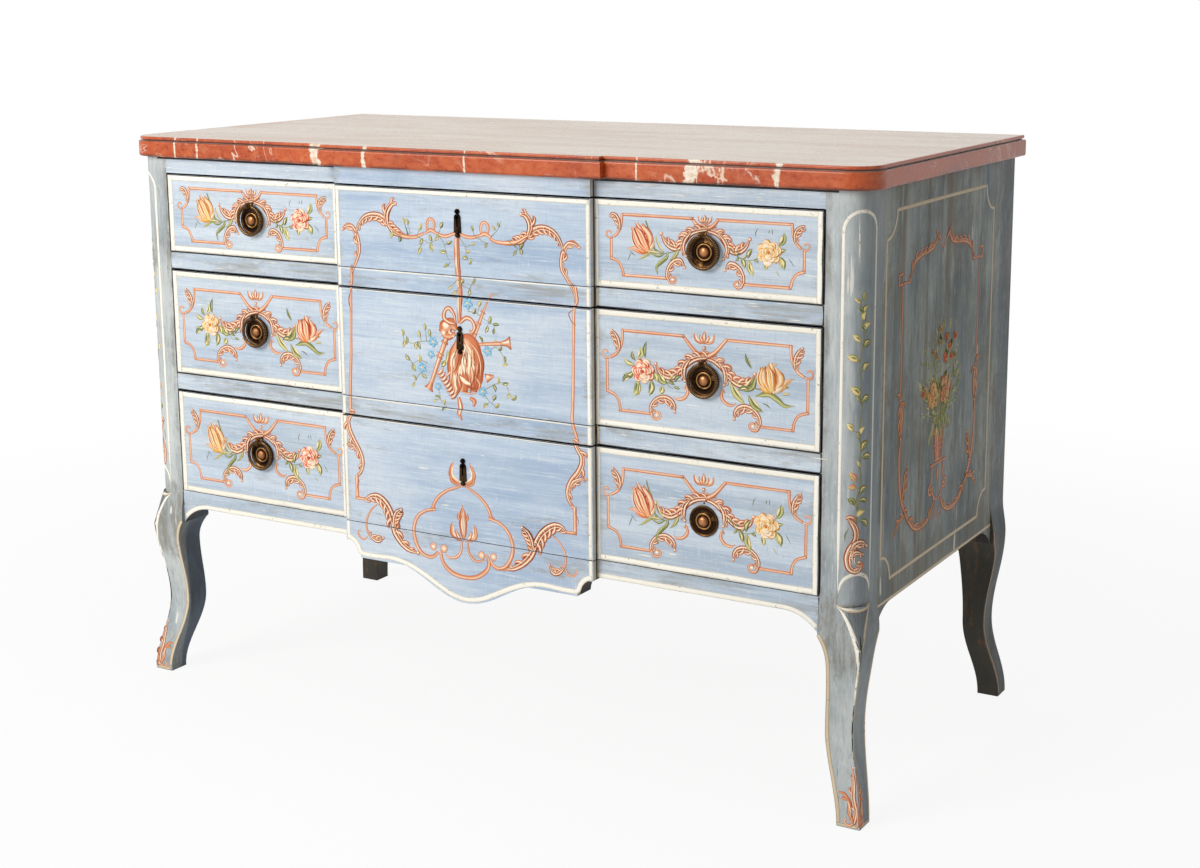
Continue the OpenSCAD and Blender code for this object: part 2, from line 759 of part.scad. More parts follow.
// Ring handle, open at the top, whose knuckles carry two pintles into the ball of its post
module ring(i, s) {
    gap_a = asin((ball_r + ring_gap) / ring_r);
    end_r = ring_t / 2;
    color([0.36, 0.25, 0.14]) placed()
        translate([s * handle_x, -ring_off, handle_z(i)]) {
            rotate([90, 0, 0]) rotate([0, 0, 90 + gap_a]) rotate_extrude(angle = 360 - 2 * gap_a) {
                translate([ring_r - ring_band / 2 + end_r, 0]) circle(end_r, $fn = 32);
                translate([ring_r + ring_band / 2 - end_r, 0]) circle(end_r, $fn = 32);
                translate([ring_r - ring_band / 2 + end_r, -end_r])
                    square([ring_band - 2 * end_r, ring_t]);
            }
            for (e = [-1, 1]) scale_x(e) translate([0, 0, pivot_r]) rotate([0, 90, 0]) {
                translate([0, 0, ball_r + ring_gap]) cylinder(r = knuckle_r, h = knuckle_l);
                translate([0, 0, 1]) cylinder(r = pintle_r, h = ball_r + ring_gap, $fn = 32);
            }
        }
}

module top_front() { drawer_front(TOP, [LEFT, RIGHT], []); }
module top_side_left() { placed() drawer_side(TOP); }
module top_side_right() { placed() mirror([1, 0, 0]) drawer_side(TOP); }
module top_back() { drawer_back(TOP); }
module top_bottom() { drawer_bottom(TOP); }
module top_rosettes() { rosettes(TOP); }
module top_handle_posts() { handle_posts(TOP, [LEFT, RIGHT]); }
module top_escutcheon() { escutcheon(TOP); }
module top_lock() { lock(TOP); }
module top_bolt() { bolt(TOP); }
module middle_front() { drawer_front(MIDDLE, [LEFT, RIGHT], []); }
module middle_side_left() { placed() drawer_side(MIDDLE); }
module middle_side_right() { placed() mirror([1, 0, 0]) drawer_side(MIDDLE); }
module middle_back() { drawer_back(MIDDLE); }
module middle_bottom() { drawer_bottom(MIDDLE); }
module middle_rosettes() { rosettes(MIDDLE); }
module middle_handle_posts() { handle_posts(MIDDLE, [LEFT, RIGHT]); }
module middle_escutcheon() { escutcheon(MIDDLE); }
module middle_lock() { lock(MIDDLE); }
module middle_bolt() { bolt(MIDDLE); }
module bottom_front() { drawer_front(BOTTOM, [LEFT], [RIGHT]); }
module bottom_side_left() { placed() drawer_side(BOTTOM); }
module bottom_side_right() { placed() mirror([1, 0, 0]) drawer_side(BOTTOM); }
module bottom_back() { drawer_back(BOTTOM); }
module bottom_bottom() { drawer_bottom(BOTTOM); }
module bottom_rosettes() { rosettes(BOTTOM); }
module bottom_handle_post() { handle_posts(BOTTOM, [LEFT]); }
module bottom_escutcheon() { escutcheon(BOTTOM); }
module bottom_lock() { lock(BOTTOM); }
module bottom_bolt() { bolt(BOTTOM); }
module top_ring_left() { ring(TOP, LEFT); }
module top_ring_right() { ring(TOP, RIGHT); }
module middle_ring_left() { ring(MIDDLE, LEFT); }
module middle_ring_right() { ring(MIDDLE, RIGHT); }
module bottom_ring_left() { ring(BOTTOM, LEFT); }

marble_top();
post_front_left();
post_front_right();
post_back_left();
post_back_right();
side_panel_left();
side_panel_right();
side_rail_left();
side_rail_right();
back_panel();
back_rail();
frieze_rail();
upper_rail();
lower_rail();
bottom_rail();
top_batten_left();
top_batten_right();
top_runner_left();
top_runner_right();
middle_runner_left();
middle_runner_right();
bottom_runner_left();
bottom_runner_right();
top_front();
top_side_left();
top_side_right();
top_back();
top_bottom();
top_rosettes();
top_handle_posts();
top_escutcheon();
top_lock();
top_bolt();
middle_front();
middle_side_left();
middle_side_right();
middle_back();
middle_bottom();
middle_rosettes();
middle_handle_posts();
middle_escutcheon();
middle_lock();
middle_bolt();
bottom_front();
bottom_side_left();
bottom_side_right();
bottom_back();
bottom_bottom();
bottom_rosettes();
bottom_handle_post();
bottom_escutcheon();
bottom_lock();
bottom_bolt();
top_ring_left();
top_ring_right();
middle_ring_left();
middle_ring_right();
bottom_ring_left();
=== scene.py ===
"""Dresses a painted breakfront commode: aged blue paint, brushed ornament, red marble and dark brass."""

import logging
import math
import random
from dataclasses import dataclass, field
from enum import Enum
from typing import Callable, Sequence

import bmesh
import bpy
from mathutils import Matrix, Vector
from mathutils.bvhtree import BVHTree


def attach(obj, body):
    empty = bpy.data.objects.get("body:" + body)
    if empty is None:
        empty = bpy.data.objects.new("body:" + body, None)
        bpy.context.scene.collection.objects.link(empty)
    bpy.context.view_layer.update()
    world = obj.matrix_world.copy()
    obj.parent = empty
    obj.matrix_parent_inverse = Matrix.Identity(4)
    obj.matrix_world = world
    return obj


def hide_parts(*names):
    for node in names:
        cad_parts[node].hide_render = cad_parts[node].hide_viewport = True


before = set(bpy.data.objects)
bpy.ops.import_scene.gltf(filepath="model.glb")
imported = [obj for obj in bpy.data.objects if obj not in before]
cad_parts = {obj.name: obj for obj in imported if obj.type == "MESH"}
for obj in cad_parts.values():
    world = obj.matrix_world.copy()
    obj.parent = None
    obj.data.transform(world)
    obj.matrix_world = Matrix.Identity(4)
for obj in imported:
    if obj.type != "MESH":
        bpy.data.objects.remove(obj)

log = logging.getLogger("commode")

Point = tuple[float, float]
Colour = tuple[float, float, float, float]

# The case, in millimetres: x to the right, y back from the side fields' front, z up
MID_Y = 276.75
HALF_W = 606.0
POST_W = 55.5
CORNER_R = 32.0
STEP = 10.5
HALF_CENTRE = 215.0
HANDLE_X = 381.75
DRAWERS = {"top": (689.5, 807.5), "middle": (498.0, 659.0), "bottom": (306.5, 467.5)}
RAILS = {"upper": (661.5, 688.5), "lower": (470.0, 497.0)}
HANDLE_Z = {"top": 745.5, "middle": 575.5, "bottom": 384.0}
ANKLE_Z = 125.0
BRACKET_Z = 216.5
KNEE_Z = 258.0
LEG_TOP_Z = 312.0
ROSETTE_R = 21.5

# Where painted shade gathers on the front, in metres: the openings' sides, the steps, the first rail and the
# next
OPENING_X = 0.552
STEP_X = 0.2165
RAIL_FIRST = 0.1005
RAIL_PITCH = 0.0957


def place(x: float, y: float, z: float) -> Vector:
    """Turns the case's millimetres into the frame's metres."""
    return Vector((x / 1000.0, (y - MID_Y) / 1000.0, z / 1000.0))


def hue(red: int, green: int, blue: int) -> Colour:
    """Turns a colour as a screen shows it into the linear one that shaders take."""
    def linear(level: float) -> float:
        """Undoes the screen's gamma."""
        return level / 12.92 if level <= 0.04045 else ((level + 0.055) / 1.055) ** 2.4

    return (linear(red / 255.0), linear(green / 255.0), linear(blue / 255.0), 1.0)


# ---------------------------------------------------------------- finishes


class Recipe:
    """Builds one node material from short calls."""

    def __init__(self, name: str, **sockets: float | Colour) -> None:
        """Starts a material.

        Args:
            name: What the material is called.
            sockets: Plain values for the shader, spaces in their names written as underscores.
        """
        self.material = bpy.data.materials.new(name)
        self.material.use_nodes = True
        self.tree = self.material.node_tree
        self.shader = self.tree.nodes["Principled BSDF"]
        for key, value in sockets.items():
            self.shader.inputs[key.replace("_", " ")].default_value = value

    def add(self, kind: str, inputs: dict | None = None, **settings: object) -> bpy.types.Node:
        """Adds a node.

        Args:
            kind: The node's type without its prefix.
            inputs: Socket names or numbers with a value or another socket.
            settings: Properties of the node.

        Returns:
            The new node.
        """
        node = self.tree.nodes.new("ShaderNode" + kind)
        for key, value in settings.items():
            setattr(node, key, value)
        for key, value in (inputs or {}).items():
            self.feed(node.inputs[key], value)
        return node

    def feed(self, socket: bpy.types.NodeSocket, value: object) -> None:
        """Links a socket, or sets its plain value."""
        if isinstance(value, bpy.types.NodeSocket):
            self.tree.links.new(value, socket)
        else:
            socket.default_value = value

    def space(
        self,
        scale: Sequence[float] = (1, 1, 1),
        turn: Sequence[float] = (0, 0, 0),
        shift: Sequence[float] = (0, 0, 0),
    ) -> bpy.types.NodeSocket:
        """Gives stretched coordinates on the piece.

        Args:
            scale: How much each axis is multiplied.
            turn: Rotation in degrees.
            shift: Offset after the scale.

        Returns:
            The vector socket.
        """
        start = self.add("TexCoord").outputs["Object"]
        mapping = self.add("Mapping", {"Vector": start})
        mapping.inputs["Scale"].default_value = scale
        mapping.inputs["Rotation"].default_value = [math.radians(t) for t in turn]
        mapping.inputs["Location"].default_value = shift
        return mapping.outputs[0]

    def noise(
        self,
        where: bpy.types.NodeSocket,
        detail: float = 3.0,
        rough: float = 0.55,
        warp: float = 0.0,
    ) -> bpy.types.NodeSocket:
        """Gives a soft random value from 0 to 1.

        Args:
            where: The coordinates.
            detail: Number of octaves.
            rough: Strength of the fine octaves.
            warp: How far the pattern is distorted.

        Returns:
            The value socket.
        """
        return self.add(
            "TexNoise",
            {"Vector": where, "Scale": 1.0, "Detail": detail, "Roughness": rough, "Distortion": warp},
        ).outputs[0]

    def calc(self, operation: str, a: object, b: object = 0.0) -> bpy.types.NodeSocket:
        """Does arithmetic on two values.

        Args:
            operation: The name of the sum.
            a: The first value.
            b: The second value.

        Returns:
            The value socket.
        """
        return self.add("Math", {0: a, 1: b}, operation=operation).outputs[0]

    def times(self, a: object, b: object) -> bpy.types.NodeSocket:
        """Multiplies two values."""
        return self.calc("MULTIPLY", a, b)

    def plus(self, a: object, b: object) -> bpy.types.NodeSocket:
        """Adds two values."""
        return self.calc("ADD", a, b)

    def most(self, a: object, b: object) -> bpy.types.NodeSocket:
        """Takes the larger of two values."""
        return self.calc("MAXIMUM", a, b)

    def apart(self, a: object, b: object) -> bpy.types.NodeSocket:
        """Gives how far two values lie apart."""
        return self.calc("ABSOLUTE", self.calc("SUBTRACT", a, b))

    def parts(self, vector: bpy.types.NodeSocket) -> Sequence[bpy.types.NodeSocket]:
        """Splits a vector into its three values."""
        return self.add("SeparateXYZ", {"Vector": vector}).outputs

    def spread(self, value: object, low: float, high: float, to_low: float = 0.0,
               to_high: float = 1.0) -> bpy.types.NodeSocket:
        """Maps one range smoothly onto another.

        Args:
            value: The value socket.
            low: Where the input range starts.
            high: Where it ends.
            to_low: The result at the start.
            to_high: The result at the end.

        Returns:
            The value socket.
        """
        node = self.add(
            "MapRange",
            {"Value": value, "From Min": low, "From Max": high, "To Min": to_low, "To Max": to_high},
            interpolation_type="SMOOTHSTEP",
        )
        return node.outputs[0]

    def mix(self, share: object, a: object, b: object) -> bpy.types.NodeSocket:
        """Mixes two colours.

        Args:
            share: How much of the second shows.
            a: The first colour.
            b: The second colour.

        Returns:
            The colour socket.
        """
        node = self.add("Mix", data_type="RGBA")
        self.feed(node.inputs[0], share)
        self.feed(node.inputs[6], a)
        self.feed(node.inputs[7], b)
        return node.outputs[2]

    def glaze(self, colour: object, value: object, low: float, high: float, share: float,
              tint: object) -> bpy.types.NodeSocket:
        """Lays a tint over a colour where a value is in a range.

        Args:
            colour: The colour so far.
            value: The value socket.
            low: Where the tint starts.
            high: Where it is at its strongest.
            share: How strong it gets.
            tint: The tint.

        Returns:
            The colour socket.
        """
        return self.mix(self.spread(value, low, high, 0.0, share), colour, tint)

    def bump(self, height: object, distance: float, strength: float = 0.6) -> None:
        """Adds relief to the shader, in metres."""
        node = self.add("Bump", {"Height": height, "Distance": distance, "Strength": strength})
        self.tree.links.new(node.outputs[0], self.shader.inputs["Normal"])

    def finish(self, colour: object, rough: object | None = None) -> bpy.types.Material:
        """Sets the colour and the roughness.

        Args:
            colour: The colour or its socket.
            rough: The roughness socket, if it varies.

        Returns:
            The material.
        """
        self.feed(self.shader.inputs["Base Color"], colour)
        if rough is not None:
            self.feed(self.shader.inputs["Roughness"], rough)
        return self.material


class Shown(Enum):
    """Which faces of a board were painted."""

    FRONT = "front"
    CORNER = "corner"
    SIDE = "side"


@dataclass(frozen=True)
class CasePaint:
    """Matt paint laid on with a wide brush and rubbed with age."""

    name: str
    base: Colour
    pale: Colour
    deep: Colour
    dirt_and_shade: Colour
    streaks: tuple[float, float, float]
    dirt_and_shade_from: float = 0.6
    speck_from: float = 0.735
    planks: bool = False
    shown: Shown = Shown.FRONT
    grey: Colour | None = None
    # Near-black painted shade for the unpainted faces in the gaps.
    unpainted_and_shade: Colour = hue(34, 28, 25)
    # Painted shade for a leg's unpainted inner faces, where the board has a leg.
    leg_bare: Colour | None = None
    gleam: Colour = hue(236, 238, 236)

    def build(self) -> bpy.types.Material:
        """Makes the material."""
        r = Recipe(self.name, Roughness=0.58, Specular_IOR_Level=0.3)
        sx, sy, sz = self.streaks
        fine = r.noise(r.space((sx, sy, sz)), 5, 0.72)
        wide = r.noise(r.space((sx * 0.22, sy * 0.22, sz * 0.16), shift=(3, 1, 7)), 4, 0.6)
        cloud = r.noise(r.space((3.2, 3.2, 6.0), shift=(9, 4, 2)), 5, 0.6)
        weave = r.noise(r.space((330, 330, 60), shift=(1, 2, 3)), 3, 0.6)
        colour = r.mix(r.spread(wide, 0.32, 0.68), self.deep, self.base)
        colour = r.glaze(colour, cloud, 0.4, 0.66, 0.7, self.pale)
        if self.grey:
            x = r.parts(r.space())[0]
            colour = r.glaze(colour, r.calc("ABSOLUTE", x), 0.19, 0.25, 0.55,
                             r.mix(r.spread(wide, 0.35, 0.65), self.grey, self.pale))
        colour = r.glaze(colour, fine, 0.5, 0.7, 0.65, self.pale)
        colour = r.glaze(colour, fine, 0.48, 0.28, 0.6, self.deep)
        colour = r.glaze(colour, weave, 0.44, 0.26, 0.4, self.deep)
        colour = r.glaze(colour, weave, 0.58, 0.76, 0.28, self.gleam)
        hair = r.noise(r.space([v * 4.2 for v in self.streaks], shift=(2, 6, 4)), 3, 0.7)
        colour = r.glaze(colour, hair, 0.46, 0.3, 0.55, self.deep)
        colour = r.glaze(colour, hair, 0.56, 0.72, 0.55, self.gleam)
        if self.planks:
            colour = self.joints(r, colour)
        colour = self.soil_and_shade(r, colour, fine)
        chip = r.noise(r.space((sx * 2.4 if sx < sz else sx, sy, sz * 0.9), shift=(5, 5, 1)), 2, 0.5)
        colour = r.glaze(colour, chip, self.speck_from, self.speck_from + 0.02, 0.8, hue(238, 234, 222))
        spot = r.add("TexVoronoi", {"Vector": r.space(), "Scale": 34.0, "Randomness": 1.0})
        colour = r.glaze(colour, spot.outputs["Distance"], 0.04, 0.02, 0.55, hue(92, 84, 74))
        colour = self.shade_unpainted_faces(r, colour)
        r.bump(r.plus(fine, r.plus(weave, r.times(chip, 0.4))), 0.0005, 0.35)
        return r.finish(colour, r.spread(fine, 0.3, 0.7, 0.66, 0.5))

    def soil_and_shade(self, r: Recipe, colour: bpy.types.NodeSocket,
             fine: bpy.types.NodeSocket) -> bpy.types.NodeSocket:
        """Lays brown grime in clouds, and brown painted shade along the openings' sides, at the steps and along
        the rails' edges; a side gets darker towards its bottom and its back, and a front post at its bracket,
        its openings and its foot.

        Args:
            r: The recipe in the making.
            colour: The colour so far.
            fine: The brush's streaks.

        Returns:
            The grimed and shaded colour.
        """
        long = 0.55 if self.streaks[2] > 100 else 1.0
        grime = r.noise(r.space((11.0 * long, 11.0 * long, 30.0 if long < 1 else 7.0), shift=(1, 8, 5)), 8,
                        0.74, 0.3)
        axes = r.parts(r.space())
        across = r.calc("ABSOLUTE", axes[0])
        # Painted shade: brown gathers close to the openings' sides, the steps and the rails' edges, where shade
        # falls.
        near_x = r.calc("MINIMUM", r.apart(across, OPENING_X), r.apart(across, STEP_X))
        near_z = r.calc("PINGPONG", r.calc("SUBTRACT", axes[2], RAIL_FIRST), RAIL_PITCH)
        near = r.most(r.spread(near_x, 0.022, 0.002), r.spread(near_z, 0.034, 0.012, 0.0, 0.75))
        # A side gets darker towards its bottom and its back; a front post at its bracket, by its openings and
        # at its foot.
        if self.shown is Shown.SIDE:
            near = r.most(r.spread(axes[2], 0.36, 0.29), r.spread(axes[1], 0.15, 0.26, 0.0, 0.8))
        elif self.shown is Shown.CORNER:
            bracket = r.times(r.spread(axes[2], 0.335, 0.29), r.spread(axes[2], 0.16, 0.23))
            near = r.most(r.times(bracket, 1.25), r.spread(near_x, 0.012, 0.001))
            near = r.most(near, r.spread(axes[2], 0.04, 0.005))
        level = r.plus(grime, r.times(near, 0.13))
        patch = r.times(r.spread(level, self.dirt_and_shade_from, self.dirt_and_shade_from + 0.16),
                        r.spread(fine, 0.36, 0.6, 0.15, 1.0))
        colour = r.mix(r.times(patch, 0.66), colour, self.dirt_and_shade)
        thread = r.noise(r.space([v * 1.9 for v in self.streaks], shift=(7, 7, 2)), 3, 0.7)
        return r.mix(r.times(r.spread(thread, 0.6, 0.72, 0.0, 0.5),
                             r.spread(level, self.dirt_and_shade_from - 0.14, self.dirt_and_shade_from + 0.02)), colour,
                             self.dirt_and_shade)

    def shade_unpainted_faces(self, r: Recipe, colour: bpy.types.NodeSocket) -> bpy.types.NodeSocket:
        """Colours the faces that never were painted with painted shade: near black in the gaps, dark on the
        legs' inner faces, and plain wood on the back of a drawer front; it also darkens a rounded corner as it
        turns sideways and a back leg's side towards its foot.

        Args:
            r: The recipe in the making.
            colour: The painted colour.

        Returns:
            The colour with its unpainted and shaded faces.
        """
        normal = r.parts(r.add("TexCoord").outputs["Normal"])
        spot = r.parts(r.space())
        front = r.spread(normal[1], -0.15, -0.3)
        side = r.spread(r.times(normal[0], r.calc("SIGN", spot[0])), 0.15, 0.3)
        painted = {Shown.FRONT: front, Shown.SIDE: side}.get(self.shown) or r.most(front, side)
        if self.shown is Shown.CORNER:
            # Painted shade: the rounded corner darkens as it turns to face sideways.
            colour = r.glaze(colour, r.calc("ABSOLUTE", normal[0]), 0.42, 0.88, 0.42, hue(92, 106, 116))
            reveal = r.times(r.spread(normal[0], 0.15, 0.3), r.spread(spot[0], -0.4, -0.45))
            painted = r.most(painted, r.times(reveal, r.spread(spot[1], -0.262, -0.268, 0.0, 0.9)))
        if self.shown is Shown.FRONT:
            # A step's side face is painted worn cream at its front, and takes the painted shade of the
            # unpainted faces towards its inner corner.
            painted = r.most(front, r.times(side, r.spread(spot[1], -0.2786, -0.2806, 0.0, 0.95)))
            worn = r.noise(r.space((30, 30, 60), shift=(8, 1, 4)), 4, 0.7)
            colour = r.mix(r.times(side, r.spread(worn, 0.36, 0.52, 0.2, 0.85)), colour, hue(214, 204, 184))
        unpainted_and_shade = self.unpainted_and_shade
        if self.shown is Shown.FRONT:
            grain = r.noise(r.space((5, 90, 120), shift=(2, 3, 1)), 5, 0.6)
            wood = r.mix(r.spread(grain, 0.35, 0.65), hue(118, 88, 58), hue(156, 124, 88))
            unpainted_and_shade = r.mix(r.spread(normal[1], 0.5, 0.8), unpainted_and_shade, wood)
        # Below the rail the unpainted faces take the leg's painted shade, mottled with grime and rubbed wear.
        if self.leg_bare:
            unpainted_and_shade = r.mix(r.spread(spot[2], 0.3, 0.284), self.unpainted_and_shade, self.leg_bare)
            soil_and_shade = r.noise(r.space((30, 30, 12), shift=(4, 1, 1)), 4, 0.6)
            unpainted_and_shade = r.glaze(unpainted_and_shade, soil_and_shade, 0.4, 0.7, 0.7 if self.shown is Shown.SIDE else 0.4, hue(48, 46, 42))
            rubbed = r.noise(r.space((70, 70, 14), shift=(6, 3, 8)), 6, 0.74)
            unpainted_and_shade = r.glaze(unpainted_and_shade, rubbed, 0.52, 0.66, 0.55 if self.shown is Shown.SIDE else 0.2,
                           hue(112, 84, 58))
            # Painted shade: a back leg's side darkens towards its foot.
            if self.shown is Shown.SIDE:
                colour = r.mix(r.times(r.spread(spot[2], 0.33, 0.25),
                                       r.spread(rubbed, 0.62, 0.42, 0.35, 0.72)), colour, hue(58, 62, 58))
        return r.mix(painted, unpainted_and_shade, colour)

    def joints(self, r: Recipe, colour: bpy.types.NodeSocket) -> bpy.types.NodeSocket:
        """Draws upright boards and one open joint on a side.

        Args:
            r: The recipe in the making.
            colour: The colour so far.

        Returns:
            The colour with the boards.
        """
        boards = r.noise(r.space((0.1, 30.0, 1.1), shift=(0, 2, 0)), 6, 0.72)
        colour = r.glaze(colour, boards, 0.5, 0.66, 0.65, self.deep)
        colour = r.glaze(colour, boards, 0.47, 0.34, 0.45, self.pale)
        umber = r.noise(r.space((0.1, 22.0, 1.6), shift=(0, 8, 3)), 6, 0.72)
        colour = r.glaze(colour, umber, 0.52, 0.64, 0.72, self.dirt_and_shade)
        azure = r.noise(r.space((0.1, 16.0, 2.2), shift=(0, 1, 9)), 5, 0.66)
        colour = r.glaze(colour, azure, 0.58, 0.68, 0.5, hue(110, 142, 172))
        axes = r.parts(r.space())
        wander = r.noise(r.space((0, 0, 14.0)), 2)
        off = r.apart(axes[1], r.plus(0.1245, r.times(wander, 0.004)))
        crack = r.times(r.spread(off, 0.0016, 0.0003), r.spread(axes[2], 0.46, 0.33))
        return r.mix(r.times(crack, 0.85), colour, hue(40, 36, 32))


@dataclass(frozen=True)
class StrokePaint:
    """Thin oil paint laid on in one stroke of a round brush."""

    name: str
    edge: Colour
    body: Colour
    light: Colour
    light_at: float = 0.45
    light_w: float = 0.22
    light_amount: float = 0.8
    bristle: float = 0.5
    worn: float = 0.15
    under: Colour = hue(160, 176, 196)
    fray: float = 0.0

    def build(self) -> bpy.types.Material:
        """Makes the material."""
        r = Recipe(self.name, Roughness=0.5, Specular_IOR_Level=0.35)
        uv = r.add("UVMap", uv_map="stroke").outputs[0]
        parts = r.parts(uv)
        tone = r.add("Attribute", attribute_name="tone").outputs["Fac"]
        seed = r.times(tone, 91.0)
        where = r.add("CombineXYZ",
                      {0: r.times(parts[0], 0.37), 1: r.times(parts[1], 7.0), 2: seed}).outputs[0]
        hair = r.noise(where, 3, 0.6)
        patch = r.noise(r.add("CombineXYZ", {0: r.times(parts[0], 0.31), 1: parts[1], 2: seed}).outputs[0], 5,
                        0.6)
        off = r.apart(parts[1], r.plus(self.light_at - 0.08, r.times(patch, 0.16)))
        glow = r.times(r.spread(off, self.light_w, self.light_w * 0.2),
                       r.spread(hair, 0.25, 0.6, 1.0 - self.bristle, 1.0))
        glow = r.times(glow, r.spread(patch, 0.2, 0.6, self.light_amount * 0.45, self.light_amount))
        rim = r.spread(r.apart(parts[1], 0.5), 0.26, 0.48)
        colour = r.mix(r.times(rim, 0.85), self.body, self.edge)
        colour = r.glaze(colour, hair, 0.55, 0.8, self.bristle * 0.6, self.edge)
        colour = r.mix(glow, colour, self.light)
        colour = r.glaze(colour, tone, 0.0, 1.0, 0.22, self.edge)
        rub = r.noise(r.space((150, 150, 170), shift=(2, 2, 2)), 5, 0.72)
        edge_up = 0.72 - self.worn * 0.28
        colour = r.glaze(colour, rub, edge_up, edge_up + 0.08, 0.85, self.under)
        if self.fray:
            nick = r.noise(r.space((170, 170, 170), shift=(4, 2, 6)), 3, 0.65)
            reach = r.plus(r.apart(parts[1], 0.5), r.times(nick, self.fray))
            colour = r.glaze(colour, reach, 0.44 + self.fray * 0.5, 0.49 + self.fray * 0.5, 0.9, self.under)
        r.bump(hair, 0.0002, 0.4)
        return r.finish(colour)


class Brush(Enum):
    """The paints that the ornament is brushed in."""

    LINE = StrokePaint("terracotta_line", hue(186, 96, 52), hue(216, 132, 84), hue(252, 222, 188), 0.42, 0.3,
                       1.0, worn=0.25)
    RUST = StrokePaint("terracotta_leaf", hue(170, 80, 40), hue(210, 122, 76), hue(248, 206, 164), 0.38, 0.26,
                       0.8, worn=0.2)
    PEACH = StrokePaint("terracotta_light", hue(240, 190, 148), hue(254, 232, 200), hue(255, 246, 226), 0.5,
                        0.3, 0.8, worn=0.1)
    DEEP = StrokePaint("terracotta_shade", hue(138, 60, 28), hue(162, 74, 38), hue(190, 100, 60), 0.5, 0.2,
                       0.4, worn=0.1)
    CREAM = StrokePaint("cream_band", hue(214, 202, 178), hue(248, 243, 229), hue(255, 252, 242), 0.5, 0.4,
                        0.6, bristle=0.45, worn=0.43, under=hue(160, 146, 120), fray=0.2)
    TAN = StrokePaint("worn_band", hue(150, 128, 98), hue(214, 194, 160), hue(238, 224, 198), 0.5, 0.4, 0.6,
                      bristle=0.5, worn=0.44, under=hue(112, 100, 82), fray=0.22)
    SLATE = StrokePaint("slate_fill", hue(88, 94, 96), hue(108, 114, 116), hue(130, 134, 134), 0.5, 0.4, 0.4,
                        bristle=0.6, worn=0.3, under=hue(80, 76, 68))
    # Near-black lines: painted shadow in the gaps, at the steps and under the top, and black wear along the
    # legs' arris.
    SHADE_AND_SOOT = StrokePaint("shadow_and_soot_line", hue(34, 30, 28), hue(28, 25, 24), hue(44, 40, 36), 0.5, 0.2, 0.3,
                       bristle=0.3, worn=0.28, under=hue(110, 96, 78))
    OLIVE = StrokePaint("olive_leaf", hue(76, 82, 36), hue(134, 140, 70), hue(222, 216, 146), 0.34, 0.28, 1.0,
                        bristle=0.6, worn=0.15)
    MOSS = StrokePaint("moss_leaf", hue(66, 70, 36), hue(114, 114, 58), hue(176, 168, 98), 0.36, 0.28, 1.0,
                       bristle=0.6, worn=0.25)
    OCHRE = StrokePaint("ochre_petal", hue(170, 104, 54), hue(226, 158, 98), hue(248, 208, 150), 0.42, 0.3,
                        1.0, bristle=0.6, worn=0.15)
    BRICK = StrokePaint("brick_petal", hue(96, 34, 20), hue(160, 70, 46), hue(222, 140, 104), 0.42, 0.28, 0.9,
                        bristle=0.6, worn=0.15)
    SIENNA = StrokePaint("sienna_scroll", hue(88, 34, 16), hue(172, 88, 50), hue(240, 172, 122), 0.4, 0.3,
                         1.0, bristle=0.5, worn=0.2, under=hue(104, 98, 86))
    STRAW = StrokePaint("straw_leaf", hue(140, 134, 66), hue(192, 186, 110), hue(240, 232, 180), 0.42, 0.28,
                        0.9, bristle=0.6, worn=0.15)
    FERN = StrokePaint("fern_leaf", hue(62, 74, 46), hue(98, 112, 66), hue(170, 176, 112), 0.38, 0.24, 0.8,
                       bristle=0.6, worn=0.15)
    STALK = StrokePaint("stalk", hue(98, 96, 50), hue(146, 138, 76), hue(190, 180, 116), 0.5, 0.25, 0.6,
                        worn=0.1)
    GOLD = StrokePaint("petal_gold", hue(216, 132, 44), hue(242, 190, 96), hue(254, 230, 160), 0.5, 0.34, 0.9,
                       worn=0.05)
    IVORY = StrokePaint("petal_ivory", hue(244, 190, 140), hue(255, 232, 196), hue(255, 248, 228), 0.5, 0.34,
                        0.9, worn=0.05)
    AMBER = StrokePaint("petal_amber", hue(186, 92, 28), hue(214, 122, 48), hue(236, 160, 84), 0.5, 0.3, 0.6,
                        worn=0.05)
    BLOOD = StrokePaint("petal_shade", hue(164, 44, 24), hue(196, 66, 40), hue(222, 104, 74), 0.5, 0.3, 0.6,
                        worn=0.05)
    APRICOT = StrokePaint("petal_apricot", hue(214, 96, 44), hue(244, 150, 90), hue(255, 214, 162), 0.5, 0.32,
                          0.9, worn=0.05)
    CORAL = StrokePaint("petal_coral", hue(204, 70, 46), hue(236, 116, 84), hue(250, 176, 144), 0.5, 0.3, 0.8,
                        worn=0.05)
    BUTTER = StrokePaint("petal_butter", hue(236, 190, 108), hue(250, 224, 158), hue(255, 242, 200), 0.5,
                         0.34, 0.8, worn=0.05)
    SKY = StrokePaint("petal_sky", hue(92, 156, 190), hue(130, 186, 212), hue(176, 216, 232), 0.5, 0.3, 0.7,
                      worn=0.1)
    UMBER = StrokePaint("umber_shade", hue(86, 74, 60), hue(110, 98, 84), hue(132, 122, 110), 0.5, 0.3, 0.4,
                        worn=0.35)


(LINE, RUST, PEACH, DEEP, CREAM, TAN, SLATE, SHADE_AND_SOOT, OLIVE, MOSS, OCHRE, BRICK,
 SIENNA, STRAW, FERN, STALK, GOLD, IVORY, AMBER, BLOOD, APRICOT, CORAL, BUTTER, SKY, UMBER) = Brush


